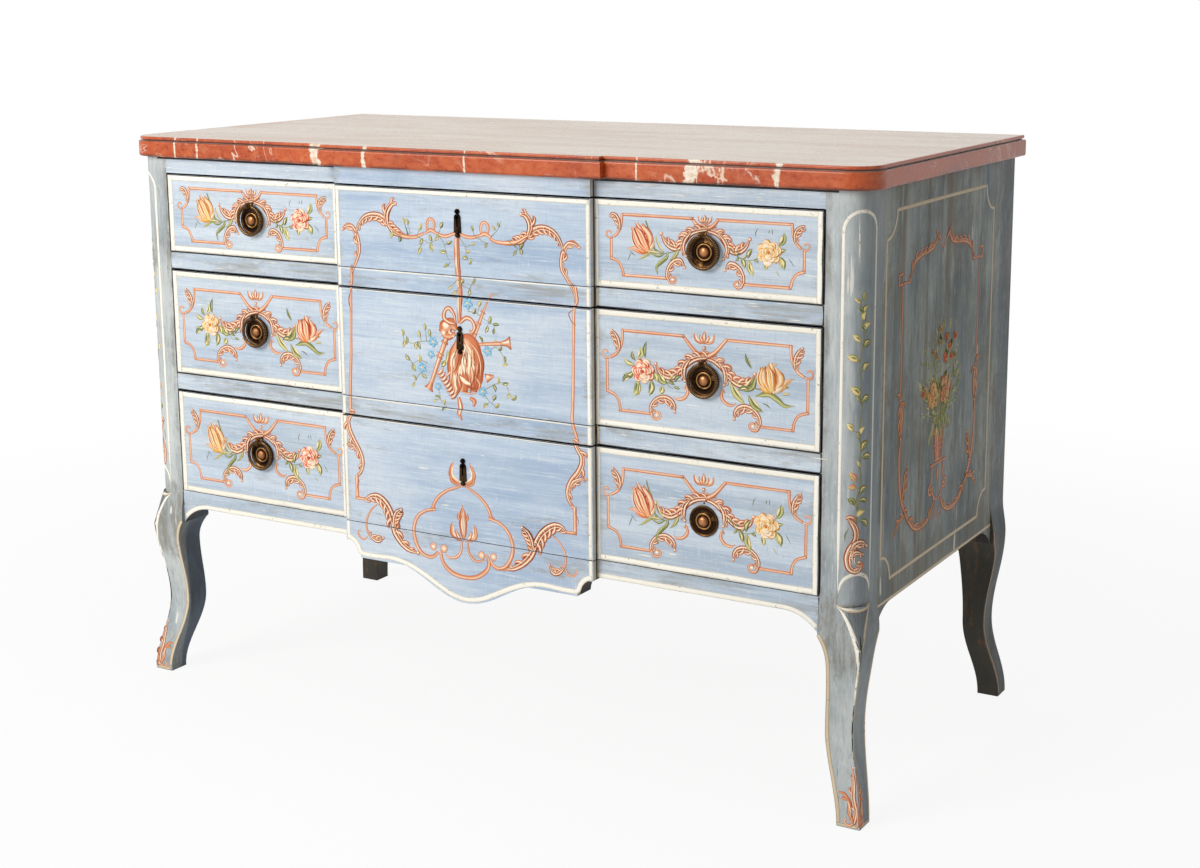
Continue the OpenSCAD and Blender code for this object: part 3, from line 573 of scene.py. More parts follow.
@dataclass(frozen=True)
class Marble:
    """Polished red marble with cream veins and clouds."""

    name: str = "red_marble"
    patches: tuple[tuple[float, float], ...] = ((-0.2445, 0.014), (0.366, 0.011), (0.487, 0.005),
                                                (-0.521, 0.0022), (-0.478, 0.002), (-0.1535, 0.004),
                                                (0.02, 0.0015), (0.285, 0.0014))

    def build(self) -> bpy.types.Material:
        """Makes the material."""
        r = Recipe(self.name)
        ground = r.noise(r.space((5.5, 5.5, 12.0)), 6, 0.62, 0.6)
        grain = r.noise(r.space((70, 70, 110), shift=(2, 0, 1)), 6, 0.75, 0.3)
        colour = r.mix(r.spread(ground, 0.32, 0.68), hue(164, 58, 12), hue(192, 82, 28))
        colour = r.glaze(colour, grain, 0.42, 0.74, 0.65, hue(212, 118, 58))
        colour = r.glaze(colour, grain, 0.45, 0.27, 0.7, hue(124, 40, 16))
        for turn, scale, low, amount in ((24, 3.0, 0.01, 0.8), (-38, 5.2, 0.007, 0.6), (80, 8.5, 0.006, 0.5)):
            vein = r.noise(r.space((scale, scale * 0.6, scale), (0, 0, turn), (turn, 1, 4)), 5, 0.58, 1.2)
            line = r.spread(r.apart(vein, 0.5), low, low * 0.2)
            gate = r.noise(r.space((5, 5, 5), shift=(turn, 3, 3)), 3)
            colour = r.mix(r.times(line, r.spread(gate, 0.5, 0.64, 0.0, amount)), colour, hue(240, 214, 190))
        axes = r.parts(r.space())
        wander = r.times(r.calc("SUBTRACT", r.noise(r.space((40, 6, 40), shift=(3, 3, 3)), 4, 0.6), 0.5),
                         0.05)
        for spot, half in self.patches:
            off = r.calc("ABSOLUTE",
                         r.plus(r.calc("SUBTRACT", axes[0], spot), r.times(wander, min(1.0, half * 120))))
            here = r.times(r.spread(off, half, half * 0.6), r.spread(axes[1], -0.2, -0.27))
            colour = r.mix(r.times(here, 0.92), colour,
                           r.mix(r.spread(grain, 0.3, 0.6), hue(214, 168, 128), hue(246, 238, 220)))
        patch = r.noise(r.space((9, 12, 12), shift=(6, 2, 2)), 5, 0.6, 0.8)
        colour = r.glaze(colour, patch, 0.7, 0.73, 0.85, hue(240, 224, 204))
        smoke = r.noise(r.space((14, 14, 16), shift=(1, 2, 9)), 5, 0.65, 0.5)
        colour = r.glaze(colour, smoke, 0.6, 0.74, 0.5, hue(116, 52, 30))
        # Painted shade in the groove under the lip.
        hollow = r.spread(r.apart(axes[2], 0.8592), 0.0022, 0.0012, 0.0, 0.8)
        colour = r.mix(hollow, colour, hue(84, 30, 14))
        # Painted shade: the edge darkens towards its lower rim, over the frieze.
        under = r.noise(r.space((18, 18, 60), shift=(9, 9, 2)), 4, 0.6)
        colour = r.mix(r.times(r.spread(axes[2], 0.84, 0.8352), r.spread(under, 0.42, 0.6, 0.1, 0.8)), colour,
                       hue(70, 34, 20))
        pit = r.noise(r.space((240, 240, 240), shift=(1, 2, 9)), 2, 0.5)
        colour = r.glaze(colour, pit, 0.7, 0.76, 0.8, hue(84, 44, 30))
        # Painted reflection: faces that look up turn pale, as the bright surround mirrored in the polish, with
        # redder patches where it thins and towards the left end.
        up = r.spread(r.parts(r.add("TexCoord").outputs["Normal"])[2], 0.9, 0.99)
        drift = r.noise(r.space((3.0, 16.0, 1.0), (0, 0, 8), (5, 5, 0)), 6, 0.65, 0.4)
        painted_top_reflection = r.mix(r.spread(drift, 0.34, 0.66), hue(196, 176, 156), hue(214, 204, 188))
        painted_top_reflection = r.glaze(painted_top_reflection, drift, 0.62, 0.74, 0.6, hue(168, 112, 86))
        painted_top_reflection = r.glaze(painted_top_reflection, r.plus(axes[0], r.times(drift, 0.3)), -0.4, -0.5, 0.5, hue(186, 132, 106))
        colour = r.mix(r.times(up, 0.95), colour, painted_top_reflection)
        return r.finish(colour, r.spread(grain, 0.3, 0.7, 0.24, 0.38))


@dataclass(frozen=True)
class OldWood:
    """Bare softwood, brown with age."""

    name: str
    light: Colour
    dark: Colour
    along: str = "x"

    def build(self) -> bpy.types.Material:
        """Makes the material."""
        r = Recipe(self.name, Roughness=0.72, Specular_IOR_Level=0.25)
        long, across = 2.2, 46.0
        scale = {"x": (long, across, across), "y": (across, long, across),
                 "z": (across, across, long)}[self.along]
        grain = r.noise(r.space(scale), 5, 0.65, 0.5)
        rings = r.noise(r.space([v * 0.16 for v in scale], shift=(4, 4, 4)), 3, 0.5, 1.0)
        colour = r.mix(r.spread(grain, 0.3, 0.7), self.light, self.dark)
        colour = r.glaze(colour, rings, 0.42, 0.66, 0.5, self.dark)
        stain = r.noise(r.space((4, 4, 4), shift=(8, 8, 8)), 4)
        colour = r.glaze(colour, stain, 0.55, 0.75, 0.5, hue(92, 70, 50))
        r.bump(grain, 0.0005, 0.4)
        return r.finish(colour, r.spread(grain, 0.3, 0.7, 0.66, 0.8))


@dataclass(frozen=True)
class OldMetal:
    """Metal with a dark skin in its hollows and bright rubbed places."""

    name: str
    bright: Colour
    dark: Colour
    rough: float = 0.34
    rubbed_from: float = 0.5

    def build(self) -> bpy.types.Material:
        """Makes the material."""
        r = Recipe(self.name, Metallic=1.0)
        skin = r.noise(r.space((120, 120, 120)), 5, 0.65, 0.3)
        cloud = r.noise(r.space((40, 40, 40), shift=(3, 1, 2)), 3)
        colour = r.mix(r.spread(cloud, self.rubbed_from - 0.14, self.rubbed_from + 0.16), self.dark,
                       self.bright)
        colour = r.glaze(colour, skin, 0.5, 0.72, 0.7, self.dark)
        r.bump(skin, 0.0002, 0.5)
        return r.finish(colour, r.spread(skin, 0.3, 0.7, self.rough, self.rough + 0.22))


FRONT_BLUE = CasePaint("blue_front_paint", hue(186, 201, 217), hue(211, 219, 225), hue(158, 178, 202),
                       hue(140, 134, 120), (8.0, 8.0, 260.0),
                       0.56, shown=Shown.FRONT, grey=hue(180, 191, 198))
POST_BLUE = CasePaint("blue_post_paint", hue(184, 190, 190), hue(206, 209, 205), hue(148, 156, 160),
                      hue(108, 98, 78), (90.0, 90.0, 9.0), 0.535, 0.72,
                      shown=Shown.CORNER, leg_bare=hue(96, 110, 126), gleam=hue(212, 216, 214))
SIDE_BLUE = CasePaint("grey_side_paint", hue(146, 154, 152), hue(176, 180, 172), hue(96, 106, 108),
                      hue(98, 86, 62), (60.0, 46.0, 8.0), 0.47, 0.74, True,
                      shown=Shown.SIDE, gleam=hue(196, 202, 200))
BACK_POST = CasePaint("grey_back_post_paint", hue(132, 140, 144), hue(152, 158, 160), hue(98, 108, 114),
                      hue(90, 84, 72), (60.0, 30.0, 8.0), 0.5, 0.76,
                      shown=Shown.SIDE, leg_bare=hue(58, 55, 47), gleam=hue(178, 184, 184))


# ---------------------------------------------------------------- painted faces


class Face:
    """A face of the case that paint is laid on, by two coordinates in millimetres."""

    def at(self, a: float, b: float, lift: float) -> Vector:
        """Gives the point over the face.

        Args:
            a: How far along the face.
            b: The height.
            lift: How thick the paint is there.

        Returns:
            The point in metres.
        """
        raise NotImplementedError


@dataclass(frozen=True)
class FrontFace(Face):
    """A flat face that looks forward; a is x."""

    y: float = 0.0

    def at(self, a: float, b: float, lift: float) -> Vector:
        """Gives the point over the face."""
        return place(a, self.y - lift, b)


@dataclass(frozen=True)
class SideFace(Face):
    """A flat face that looks sideways; a is y."""

    sign: int = 1

    def at(self, a: float, b: float, lift: float) -> Vector:
        """Gives the point over the face."""
        return place(self.sign * (HALF_W + lift), a, b)


@dataclass(frozen=True)
class CornerFace(Face):
    """A rounded front corner; a runs round it from the post's inner edge."""

    sign: int = 1

    def at(self, a: float, b: float, lift: float) -> Vector:
        """Gives the point over the corner."""
        flat = POST_W - CORNER_R
        turn = CORNER_R * math.pi / 2
        if a <= flat:
            return place(self.sign * (HALF_W - POST_W + a), -lift, b)
        if a >= flat + turn:
            return place(self.sign * (HALF_W + lift), CORNER_R + a - flat - turn, b)
        angle = (a - flat) / CORNER_R
        reach = CORNER_R + lift
        return place(self.sign * (HALF_W - CORNER_R + reach * math.sin(angle)),
                     CORNER_R - reach * math.cos(angle), b)


def ease(t: float) -> float:
    """A smooth rise from 0 to 1."""
    return (1.0 - math.cos(math.pi * t)) / 2.0


def leg_out(z: float) -> float:
    """How far a front leg's outer line stands out from the body at a height."""
    if z < ANKLE_Z:
        return 11.5 - 20.0 * ease(z / ANKLE_Z)
    if z < KNEE_Z:
        return -8.5 + 14.5 * ease((z - ANKLE_Z) / (KNEE_Z - ANKLE_Z))
    if z < LEG_TOP_Z:
        return 6.0 * (1.0 - ease((z - KNEE_Z) / (LEG_TOP_Z - KNEE_Z)))
    return 0.0


@dataclass(frozen=True)
class LegFace(Face):
    """A leg's front or outer side; a runs in from the arris."""

    sign: int = 1
    side: bool = False

    def at(self, a: float, b: float, lift: float) -> Vector:
        """Gives the point over the leg."""
        out = leg_out(b)
        if self.side:
            return place(self.sign * (HALF_W + out + lift), a - out, b)
        return place(self.sign * (HALF_W + out - a), -out - lift, b)


class SnapFace(Face):
    """A face that finds a node's real surface by looking at it from outside."""

    OUTSIDE = 40.0
    """How far out the search starts, in millimetres."""

    DEPTH = 0.09
    """How far the search looks for a point, in metres."""

    EDGE_DEPTH = 0.07
    """How far it looks for the surface's end, in metres."""

    def __init__(self, node: str, guide: Face) -> None:
        """Prepares the search.

        Args:
            node: The node that is painted.
            guide: The simple face that gives the place and the direction.
        """
        mesh = bmesh.new()
        mesh.from_mesh(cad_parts[node].data)
        self.tree = BVHTree.FromBMesh(mesh)
        mesh.free()
        self.guide = guide

    def at(self, a: float, b: float, lift: float) -> Vector:
        """Gives the point over the surface."""
        near, far = self.guide.at(a, b, 0.0), self.guide.at(a, b, self.OUTSIDE)
        way = (near - far).normalized()
        hit, _, _, _ = self.tree.ray_cast(far, way, self.DEPTH)
        return (hit or near) - way * (lift / 1000.0)

    def edge(self, a: float, b: float, step: float) -> float:
        """Walks over the surface until it ends.

        Args:
            a: Where the walk starts.
            b: The height that it keeps.
            step: How far each step goes.

        Returns:
            The last place that still lay on the surface.
        """
        for _ in range(90):
            near, far = self.guide.at(a, b, 0.0), self.guide.at(a, b, self.OUTSIDE)
            if self.tree.ray_cast(far, (near - far).normalized(), self.EDGE_DEPTH)[0] is None:
                break
            a += step
        return a - step


# ---------------------------------------------------------------- strokes


def smooth_line(points: Sequence[Point], pace: float = 2.2) -> list[Point]:
    """Runs a smooth curve through points.

    Args:
        points: The points that it passes.
        pace: The distance between the new points.

    Returns:
        Points close together along the curve.
    """
    if len(points) < 3:
        (a, b), (c, d) = points[0], points[-1]
        count = max(2, int(math.dist((a, b), (c, d)) / (pace * 3)))
        return [(a + (c - a) * k / count, b + (d - b) * k / count) for k in range(count + 1)]
    first = (2 * points[0][0] - points[1][0], 2 * points[0][1] - points[1][1])
    last = (2 * points[-1][0] - points[-2][0], 2 * points[-1][1] - points[-2][1])
    chain = [first, *points, last]
    line: list[Point] = []
    for k in range(1, len(chain) - 2):
        p0, p1, p2, p3 = chain[k - 1 : k + 3]
        count = max(2, int(math.dist(p1, p2) / pace + 0.5))
        for step in range(count):
            t = step / count
            line.append(tuple(
                0.5 * (2 * p1[i] + (p2[i] - p0[i]) * t + (2 * p0[i] - 5 * p1[i] + 4 * p2[i] - p3[i]) * t * t
                       + (3 * p1[i] - p0[i] - 3 * p2[i] + p3[i]) * t ** 3)
                for i in (0, 1)
            ))
    line.append(tuple(points[-1]))
    return line


def mirror(sign: int) -> Callable[[Sequence[Point]], list[Point]]:
    """Gives the function that lays points out to one side."""
    return lambda points: [(sign * a, b) for a, b in points]


def side_name(sign: int) -> str:
    """Names the side that a sign stands for."""
    return "right" if sign > 0 else "left"


def width_at(widths: Sequence[float], t: float) -> float:
    """Gives a stroke's width part of the way along, from a few widths spread evenly."""
    if len(widths) == 1:
        return widths[0]
    place_in = min(t, 0.99999) * (len(widths) - 1)
    k = int(place_in)
    return widths[k] + (widths[k + 1] - widths[k]) * ease(place_in - k)


CELL = 1.4
"""The side of the squares in which a canvas remembers how thick its paint is, in millimetres."""

COAT = 0.035
"""How much each stroke adds where it covers another one, in millimetres."""

SUNK = 0.05
"""How far a stroke's edges lie inside the surface, in millimetres."""

BROW = 0.93
"""Where a stroke's steep edge ends, as a share of its half width."""


class Canvas:
    """All the strokes on one piece, as one mesh of thin closed bodies of paint."""

    def __init__(self, name: str, body: str, face: Face,
                 limits: tuple[float, float, float, float] | None = None) -> None:
        """Starts an empty canvas.

        Args:
            name: What the piece is called.
            body: The body that it moves with.
            face: What it is painted on.
            limits: The lowest and highest a and b of what is painted, where strokes are cut off.
        """
        self.name, self.body, self.face, self.limits = name, body, face, limits
        self.mesh = bmesh.new()
        self.uv = self.mesh.loops.layers.uv.new("stroke")
        self.tone = self.mesh.faces.layers.float.new("tone")
        self.paints: list[Brush] = []
        self.count = 0
        self.heights: dict[tuple[int, int], float] = {}
        self.rng = random.Random(name)

    def cells(self, spot: Point, reach: float) -> list[tuple[int, int]]:
        """Names the small squares of the canvas that a round spot touches.

        Args:
            spot: The middle of the spot.
            reach: Its radius.

        Returns:
            The squares' numbers.
        """
        a, b = spot
        return [(i, j) for i in range(math.floor((a - reach) / CELL), math.floor((a + reach) / CELL) + 1)
                for j in range(math.floor((b - reach) / CELL), math.floor((b + reach) / CELL) + 1)]

    def stroke(self, points: Sequence[Point], widths: Sequence[float], paint: Brush, thick: float = 0.16,
               pace: float = 2.2) -> None:
        """Lays one stroke.

        Args:
            points: The line that the brush follows.
            widths: Widths spread evenly along it.
            paint: What it is painted with.
            thick: How thick a first coat is at the middle.
            pace: The distance between the cuts along it.
        """
        line = smooth_line(points, pace)
        if self.limits:
            a0, a1, b0, b1 = self.limits
            wide = max(widths)
            if (max(p[0] for p in line) + wide < a0 or min(p[0] for p in line) - wide > a1
                    or max(p[1] for p in line) + wide < b0 or min(p[1] for p in line) - wide > b1):
                return
        self.count += 1
        if paint not in self.paints:
            self.paints.append(paint)
        slot, tone = self.paints.index(paint), self.rng.random()
        lengths = [0.0]
        for p, q in zip(line, line[1:]):
            lengths.append(lengths[-1] + math.dist(p, q))
        total = max(lengths[-1], 1e-6)
        part = bmesh.new()
        uv = part.loops.layers.uv.new("stroke")
        mark = part.faces.layers.float.new("tone")
        rows, coords = [], []
        halves = [max(width_at(widths, far / total), 0.25) / 2 for far in lengths]
        touched = [self.cells(spot, half) for spot, half in zip(line, halves)]
        under = [max(self.heights.get(cell, 0.0) for cell in cells) for cells in touched]
        tops = []
        for k, cells in enumerate(touched):
            below = max(under[max(k - 1, 0):k + 2])
            tops.append((below, below + (COAT if below else thick)))
        for cells, (_, top) in zip(touched, tops):
            for cell in cells:
                self.heights[cell] = max(self.heights.get(cell, 0.0), top)
        for k, (a, b) in enumerate(line):
            p, q = line[max(k - 1, 0)], line[min(k + 1, len(line) - 1)]
            dx, dy = q[0] - p[0], q[1] - p[1]
            size = math.hypot(dx, dy) or 1.0
            nx, ny = -dy / size, dx / size
            half, (low, top) = halves[k], tops[k]
            brow = low + (top - low) * 0.4
            row, row_uv = [], []
            for share, lift in ((-1.0, -SUNK), (-BROW, brow), (0.0, top), (BROW, brow), (1.0, -SUNK)):
                row.append(part.verts.new(self.face.at(a + nx * half * share, b + ny * half * share, lift)))
                row_uv.append((lengths[k] / 10.0, share / 2 + 0.5))
            rows.append(row)
            coords.append(row_uv)

        def add(verts: list, uvs: list, smooth: bool = False) -> None:
            """Adds one face with its place in the stroke."""
            face = part.faces.new(verts)
            face.material_index, face.smooth = slot, smooth
            face[mark] = tone
            for loop, value in zip(face.loops, uvs):
                loop[uv].uv = value

        for k in range(len(rows) - 1):
            for j in range(5):
                i = (j + 1) % 5
                add([rows[k][j], rows[k + 1][j], rows[k + 1][i], rows[k][i]],
                    [coords[k][j], coords[k + 1][j], coords[k + 1][i], coords[k][i]], j in (1, 2))
        add(rows[0], coords[0])
        add(rows[-1][::-1], coords[-1][::-1])
        if self.limits:
            self.trim(part, line, max(widths))
        if part.faces:
            bmesh.ops.recalc_face_normals(part, faces=part.faces[:])
            self.take(part, uv, mark)
        part.free()

    def trim(self, part: bmesh.types.BMesh, line: list[Point], wide: float) -> None:
        """Cuts a stroke off at the canvas's limits and closes it.

        Args:
            part: The stroke's mesh.
            line: Its centreline.
            wide: Its greatest width.
        """
        a0, a1, b0, b1 = self.limits
        for axis, limit, sense in ((0, a0, -1), (0, a1, 1), (1, b0, -1), (1, b1, 1)):
            reach = [p[axis] for p in line]
            if (sense < 0 and min(reach) - wide / 2 >= limit) or (sense > 0 and max(reach) + wide / 2 <= limit):
                continue
            spot = (limit, line[0][1]) if axis == 0 else (line[0][0], limit)
            other = (limit + sense, line[0][1]) if axis == 0 else (line[0][0], limit + sense)
            here, there = self.face.at(*spot, 0.0), self.face.at(*other, 0.0)
            bmesh.ops.bisect_plane(part, geom=part.verts[:] + part.edges[:] + part.faces[:], dist=1e-7,
                                   plane_co=here, plane_no=(there - here).normalized(), clear_outer=True)
            edges = [e for e in part.edges if e.is_boundary]
            if edges:
                bmesh.ops.holes_fill(part, edges=edges, sides=0)

    def take(self, part: bmesh.types.BMesh, uv: bmesh.types.BMLayerItem,
             mark: bmesh.types.BMLayerItem) -> None:
        """Copies a stroke's mesh into the canvas.

        Args:
            part: The stroke's mesh.
            uv: Its layer of places in the stroke.
            mark: Its layer of tones.
        """
        twin = {v: self.mesh.verts.new(v.co) for v in part.verts}
        for f in part.faces:
            face = self.mesh.faces.new([twin[v] for v in f.verts])
            face.material_index, face.smooth = f.material_index, f.smooth
            face[self.tone] = f[mark]
            for loop, old in zip(face.loops, f.loops):
                loop[self.uv].uv = old[uv].uv

    def build(self, slot: str) -> None:
        """Makes the piece and rides it on its body.

        Args:
            slot: Not used.
        """
        data = bpy.data.meshes.new(self.name)
        self.mesh.to_mesh(data)
        self.mesh.free()
        for paint in self.paints:
            data.materials.append(Workshop.paint(paint))
        piece = bpy.data.objects.new(self.name, data)
        bpy.context.scene.collection.objects.link(piece)
        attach(piece, self.body)
        log.info("%s: %d strokes, %d faces", self.name, self.count, len(data.polygons))


class Workshop:
    """Keeps each finish's material, made once."""

    made: dict[str, bpy.types.Material] = {}

    @classmethod
    def paint(cls, brush: Brush) -> bpy.types.Material:
        """Gives a brush's material."""
        return cls.get(brush.value)

    @classmethod
    def get(cls, finish: CasePaint | StrokePaint | Marble | OldWood | OldMetal) -> bpy.types.Material:
        """Gives a finish's material."""
        if finish.name not in cls.made:
            cls.made[finish.name] = finish.build()
        return cls.made[finish.name]


class Painter:
    """Paints ornament on one or more canvases, in coordinates of its own."""

    def __init__(self, canvases: Sequence[Canvas], seed: str, origin: Point = (0.0, 0.0),
                 stretch: float = 1.0) -> None:
        """Sets up the painter.

        Args:
            canvases: Where the strokes are laid; each is cut to its canvas.
            seed: What the small irregularities come from.
            origin: Where the ornament's own zero lies on the canvases.
            stretch: How much the ornament is stretched sideways.
        """
        self.canvases, self.origin, self.stretch = canvases, origin, stretch
        self.scheme = (RUST, PEACH, DEEP)
        self.swell = 1.2
        self.rng = random.Random(seed)

    def lay(self, points: Sequence[Point], widths: Sequence[float], paint: Brush, thick: float = 0.16,
            pace: float = 2.2) -> None:
        """Lays one stroke on every canvas that it touches."""
        moved = [(self.origin[0] + self.stretch * a, self.origin[1] + b) for a, b in points]
        for canvas in self.canvases:
            canvas.stroke(moved, widths, paint, thick, pace)

    def band(self, points: Sequence[Point], width: float = 4.4, paint: Brush = LINE) -> None:
        """Draws straight runs of a line with square corners."""
        for p, q in zip(points, points[1:]):
            size = math.dist(p, q) or 1.0
            over = width * 0.42
            dx, dy = (q[0] - p[0]) / size * over, (q[1] - p[1]) / size * over
            self.lay([(p[0] - dx, p[1] - dy), (q[0] + dx, q[1] + dy)],
                     [width * self.rng.uniform(0.92, 1.06) for _ in range(5)], paint)

    def curve(self, points: Sequence[Point], widths: Sequence[float] = (4.4,), paint: Brush = LINE) -> None:
        """Draws a curved line."""
        self.lay(points, widths, paint)

    def curl(self, centre: Point, radius: float, paint: Brush = LINE) -> None:
        """Draws a round scroll end.

        Args:
            centre: Its middle.
            radius: Its outer radius.
            paint: What it is painted with.
        """
        x, y = centre
        ring = [(x + radius * 0.62 * math.cos(a),
                 y + radius * 0.62 * math.sin(a)) for a in [math.radians(d) for d in range(-40, 330, 40)]]
        self.lay(ring, (radius * 0.55, radius * 0.8, radius * 0.7), paint, pace=1.2)
        self.dab((x, y), radius * 0.55, PEACH)

    def dab(self, centre: Point, radius: float, paint: Brush) -> None:
        """Puts down one round touch of paint."""
        x, y = centre
        lean = self.rng.uniform(-0.3, 0.3)
        self.lay([(x - radius * 0.92, y - radius * lean * 0.4), (x, y + radius * lean * 0.1),
                  (x + radius * 0.92, y + radius * lean * 0.4)],
                 (radius * 0.5, radius * 1.7, radius * 1.95, radius * 1.7, radius * 0.5), paint,
                 pace=max(radius * 0.35, 0.5))

    def leaf(self, base: Point, tip: Point, width: float, bend: float = 0.15, paint: Brush = OLIVE) -> None:
        """Paints one pointed leaf.

        Args:
            base: Where it grows from.
            tip: Its point.
            width: Its greatest width.
            bend: How far its middle bows to the left, as a share of its length.
            paint: What it is painted with.
        """
        (x0, y0), (x1, y1) = base, tip
        dx, dy = x1 - x0, y1 - y0
        middle = ((x0 + x1) / 2 - dy * bend, (y0 + y1) / 2 + dx * bend)
        self.lay([base, middle, tip], (width * 0.15, width * 0.8, width, width * 0.75, width * 0.08), paint,
                 pace=1.6)
        if width >= 3.4 and paint in (OLIVE, STRAW, FERN):
            size = math.hypot(dx, dy) or 1.0
            nx, ny = -dy / size * width, dx / size * width
            lit = [(x0 + dx * t + nx * o, y0 + dy * t + ny * o)
                   for t, o in ((0.12, 0.06), (0.5, 0.2 + bend), (0.86, 0.05))]
            dark = [(x0 + dx * t + nx * o, y0 + dy * t + ny * o)
                    for t, o in ((0.05, 0.0), (0.45, -0.12 + bend), (0.8, -0.02))]
            self.lay(lit, (0.2, width * 0.38, 0.2), BUTTER if paint is STRAW or width > 5.5 else STRAW,
                     pace=1.8)
            self.lay(dark, (0.2, width * 0.2, 0.2), FERN, pace=1.8)

    def acanthus(self, points: Sequence[Point], widths: Sequence[float], side: int = 1, lobes: int = 5,
                 reach: float = 0.8) -> None:
        """Paints a curved acanthus leaf: a tapering body, lobes on one side and lights on top.

        Args:
            points: The line of its back.
            widths: Widths spread evenly along it.
            side: Which side the lobes grow on, 1 for the left of its direction.
            lobes: How many lobes.
            reach: How far they stand out, as a share of the width.
        """
        widths = [w * self.swell for w in widths]
        line = smooth_line(points, 1.5)
        count = len(line)

        def frame_at(t: float) -> tuple[Point, Point, Point]:
            """Gives the point, direction and left side part of the way along."""
            k = min(int(t * (count - 1)), count - 2)
            dx, dy = line[k + 1][0] - line[k][0], line[k + 1][1] - line[k][1]
            size = math.hypot(dx, dy) or 1.0
            return line[k], (dx / size, dy / size), (-dy / size, dx / size)

        top = max(widths)
        main, lit, dark = self.scheme
        self.lay(points, [w * 0.96 for w in widths], main)
        for k in range(lobes):
            t = 0.02 + 0.78 * k / max(lobes - 1, 1)
            (x, y), (tx, ty), (nx, ny) = frame_at(t)
            w = max(width_at(widths, t + 0.08), top * 0.55)
            out = side * w * (0.55 + reach * self.rng.uniform(0.7, 1.0))
            lobe = [(x - nx * out * 0.15 - tx * w * 0.2, y - ny * out * 0.15 - ty * w * 0.2),
                    (x + nx * out * 0.62 + tx * w * 0.15, y + ny * out * 0.62 + ty * w * 0.15),
                    (x + nx * out * 1.0 + tx * w * 0.7, y + ny * out * 1.0 + ty * w * 0.7),
                    (x + nx * out * 0.92 + tx * w * 1.1, y + ny * out * 0.92 + ty * w * 1.1)]
            self.lay(lobe, (w * 0.45, w * 0.66, w * 0.56, w * 0.22), main, pace=1.0)
            shade = [(a - nx * side * w * 0.2 + tx * w * 0.1, b - ny * side * w * 0.2 + ty * w * 0.1)
                     for a, b in lobe]
            self.lay(shade, (0.3, w * 0.13, w * 0.12, 0.3), dark, pace=1.4)
            self.lay([(a + nx * side * w * 0.06, b + ny * side * w * 0.06) for a, b in lobe[:3]],
                     (w * 0.1, w * 0.2, w * 0.22, w * 0.08), lit, pace=1.2)
        self.dab(line[-2], top * 0.3, main)
        self.dab((line[-2][0] - top * 0.04, line[-2][1] + top * 0.07), top * 0.17, lit)
        for off, share, paint in ((-0.2, 0.24, lit), (0.1, 0.1, dark), (0.27, 0.12, lit),
                                  (-0.46, 0.08, dark)):
            rows = []
            for k in range(9):
                (x, y), _, (nx, ny) = frame_at(0.03 + 0.92 * k / 8)
                push = side * width_at(widths, k / 8) * off
                rows.append((x + nx * push, y + ny * push))
            self.lay(rows, [max(w * share, 0.5) for w in widths], paint)

    def rose(self, centre: Point, radius: float, petal: Brush, light: Brush, deep: Brush) -> None:
        """Paints a full rose of ruffled petals round a turned cup.

        Args:
            centre: Its middle.
            radius: Its outer radius.
            petal: The main paint.
            light: The paint of the turned edges.
            deep: The paint of the shadows.
        """
        x, y = centre
        turn = self.rng.uniform(0, 60)
        draw = self.rng.uniform

        def arc(mid: float, half: float, far: float, bulge: float = 1.08, squash: float = 1.0) -> list[Point]:
            """Gives a bowed line round the middle."""
            return [(x + radius * far * b * math.cos(math.radians(mid + d)),
                     y + radius * far * b * squash * math.sin(math.radians(mid + d)))
                    for d, b in ((-half, 0.92), (-half * 0.45, bulge), (half * 0.3, bulge * 0.97), (half, 0.9))]

        for far, count, wide in ((0.7, 7, 0.52), (0.52, 6, 0.46), (0.34, 4, 0.38), (0.18, 3, 0.26)):
            self.dab((x, y), radius * far * 0.98, deep)
            for k in range(count):
                mid = turn + far * 230 + k * 360 / count + draw(-9, 9)
                r = far * draw(0.93, 1.07)
                half = 200 / count
                paint = petal if (k + count) % 3 else light
                self.lay(arc(mid, half, r),
                         (radius * wide * 0.3, radius * wide, radius * wide * 0.9, radius * wide * 0.25),
                         paint, pace=1.2)
                self.lay(arc(mid + 4, half * 0.8, r + wide * 0.28), (0.2, radius * 0.13, radius * 0.09, 0.2),
                         light, pace=1.2)
                self.lay(arc(mid, half * 0.8, max(r - wide * 0.42, 0.06)),
                         (0.2, radius * 0.13, radius * 0.1, 0.2), deep, pace=1.2)
                self.lay(arc(mid + draw(-6, 6), half * 0.6, r), (0.2, radius * 0.05, 0.2),
                         deep if k % 2 else light, pace=1.2)
        self.dab((x + radius * 0.03, y + radius * 0.05), radius * 0.09, deep)

    def tulip(self, base: Point, tip: Point, width: float, flare: int, petal: Brush, light: Brush,
              deep: Brush) -> None:
        """Paints a half-closed tulip of overlapping, streaked petals.

        Args:
            base: The bottom of the flower.
            tip: Its highest point.
            width: How wide the cup is.
            flare: Which side has the petal that hangs out, 1 for the left of its direction.
            petal: The main paint.
            light: The paint of the lit petals.
            deep: The paint of the streaks.
        """
        dx, dy = tip[0] - base[0], tip[1] - base[1]
        size = math.hypot(dx, dy)
        nx, ny = -dy / size * width, dx / size * width

        def at(t: float, across: float) -> Point:
            """Places a point in the flower."""
            return (base[0] + dx * t + nx * across, base[1] + dy * t + ny * across)

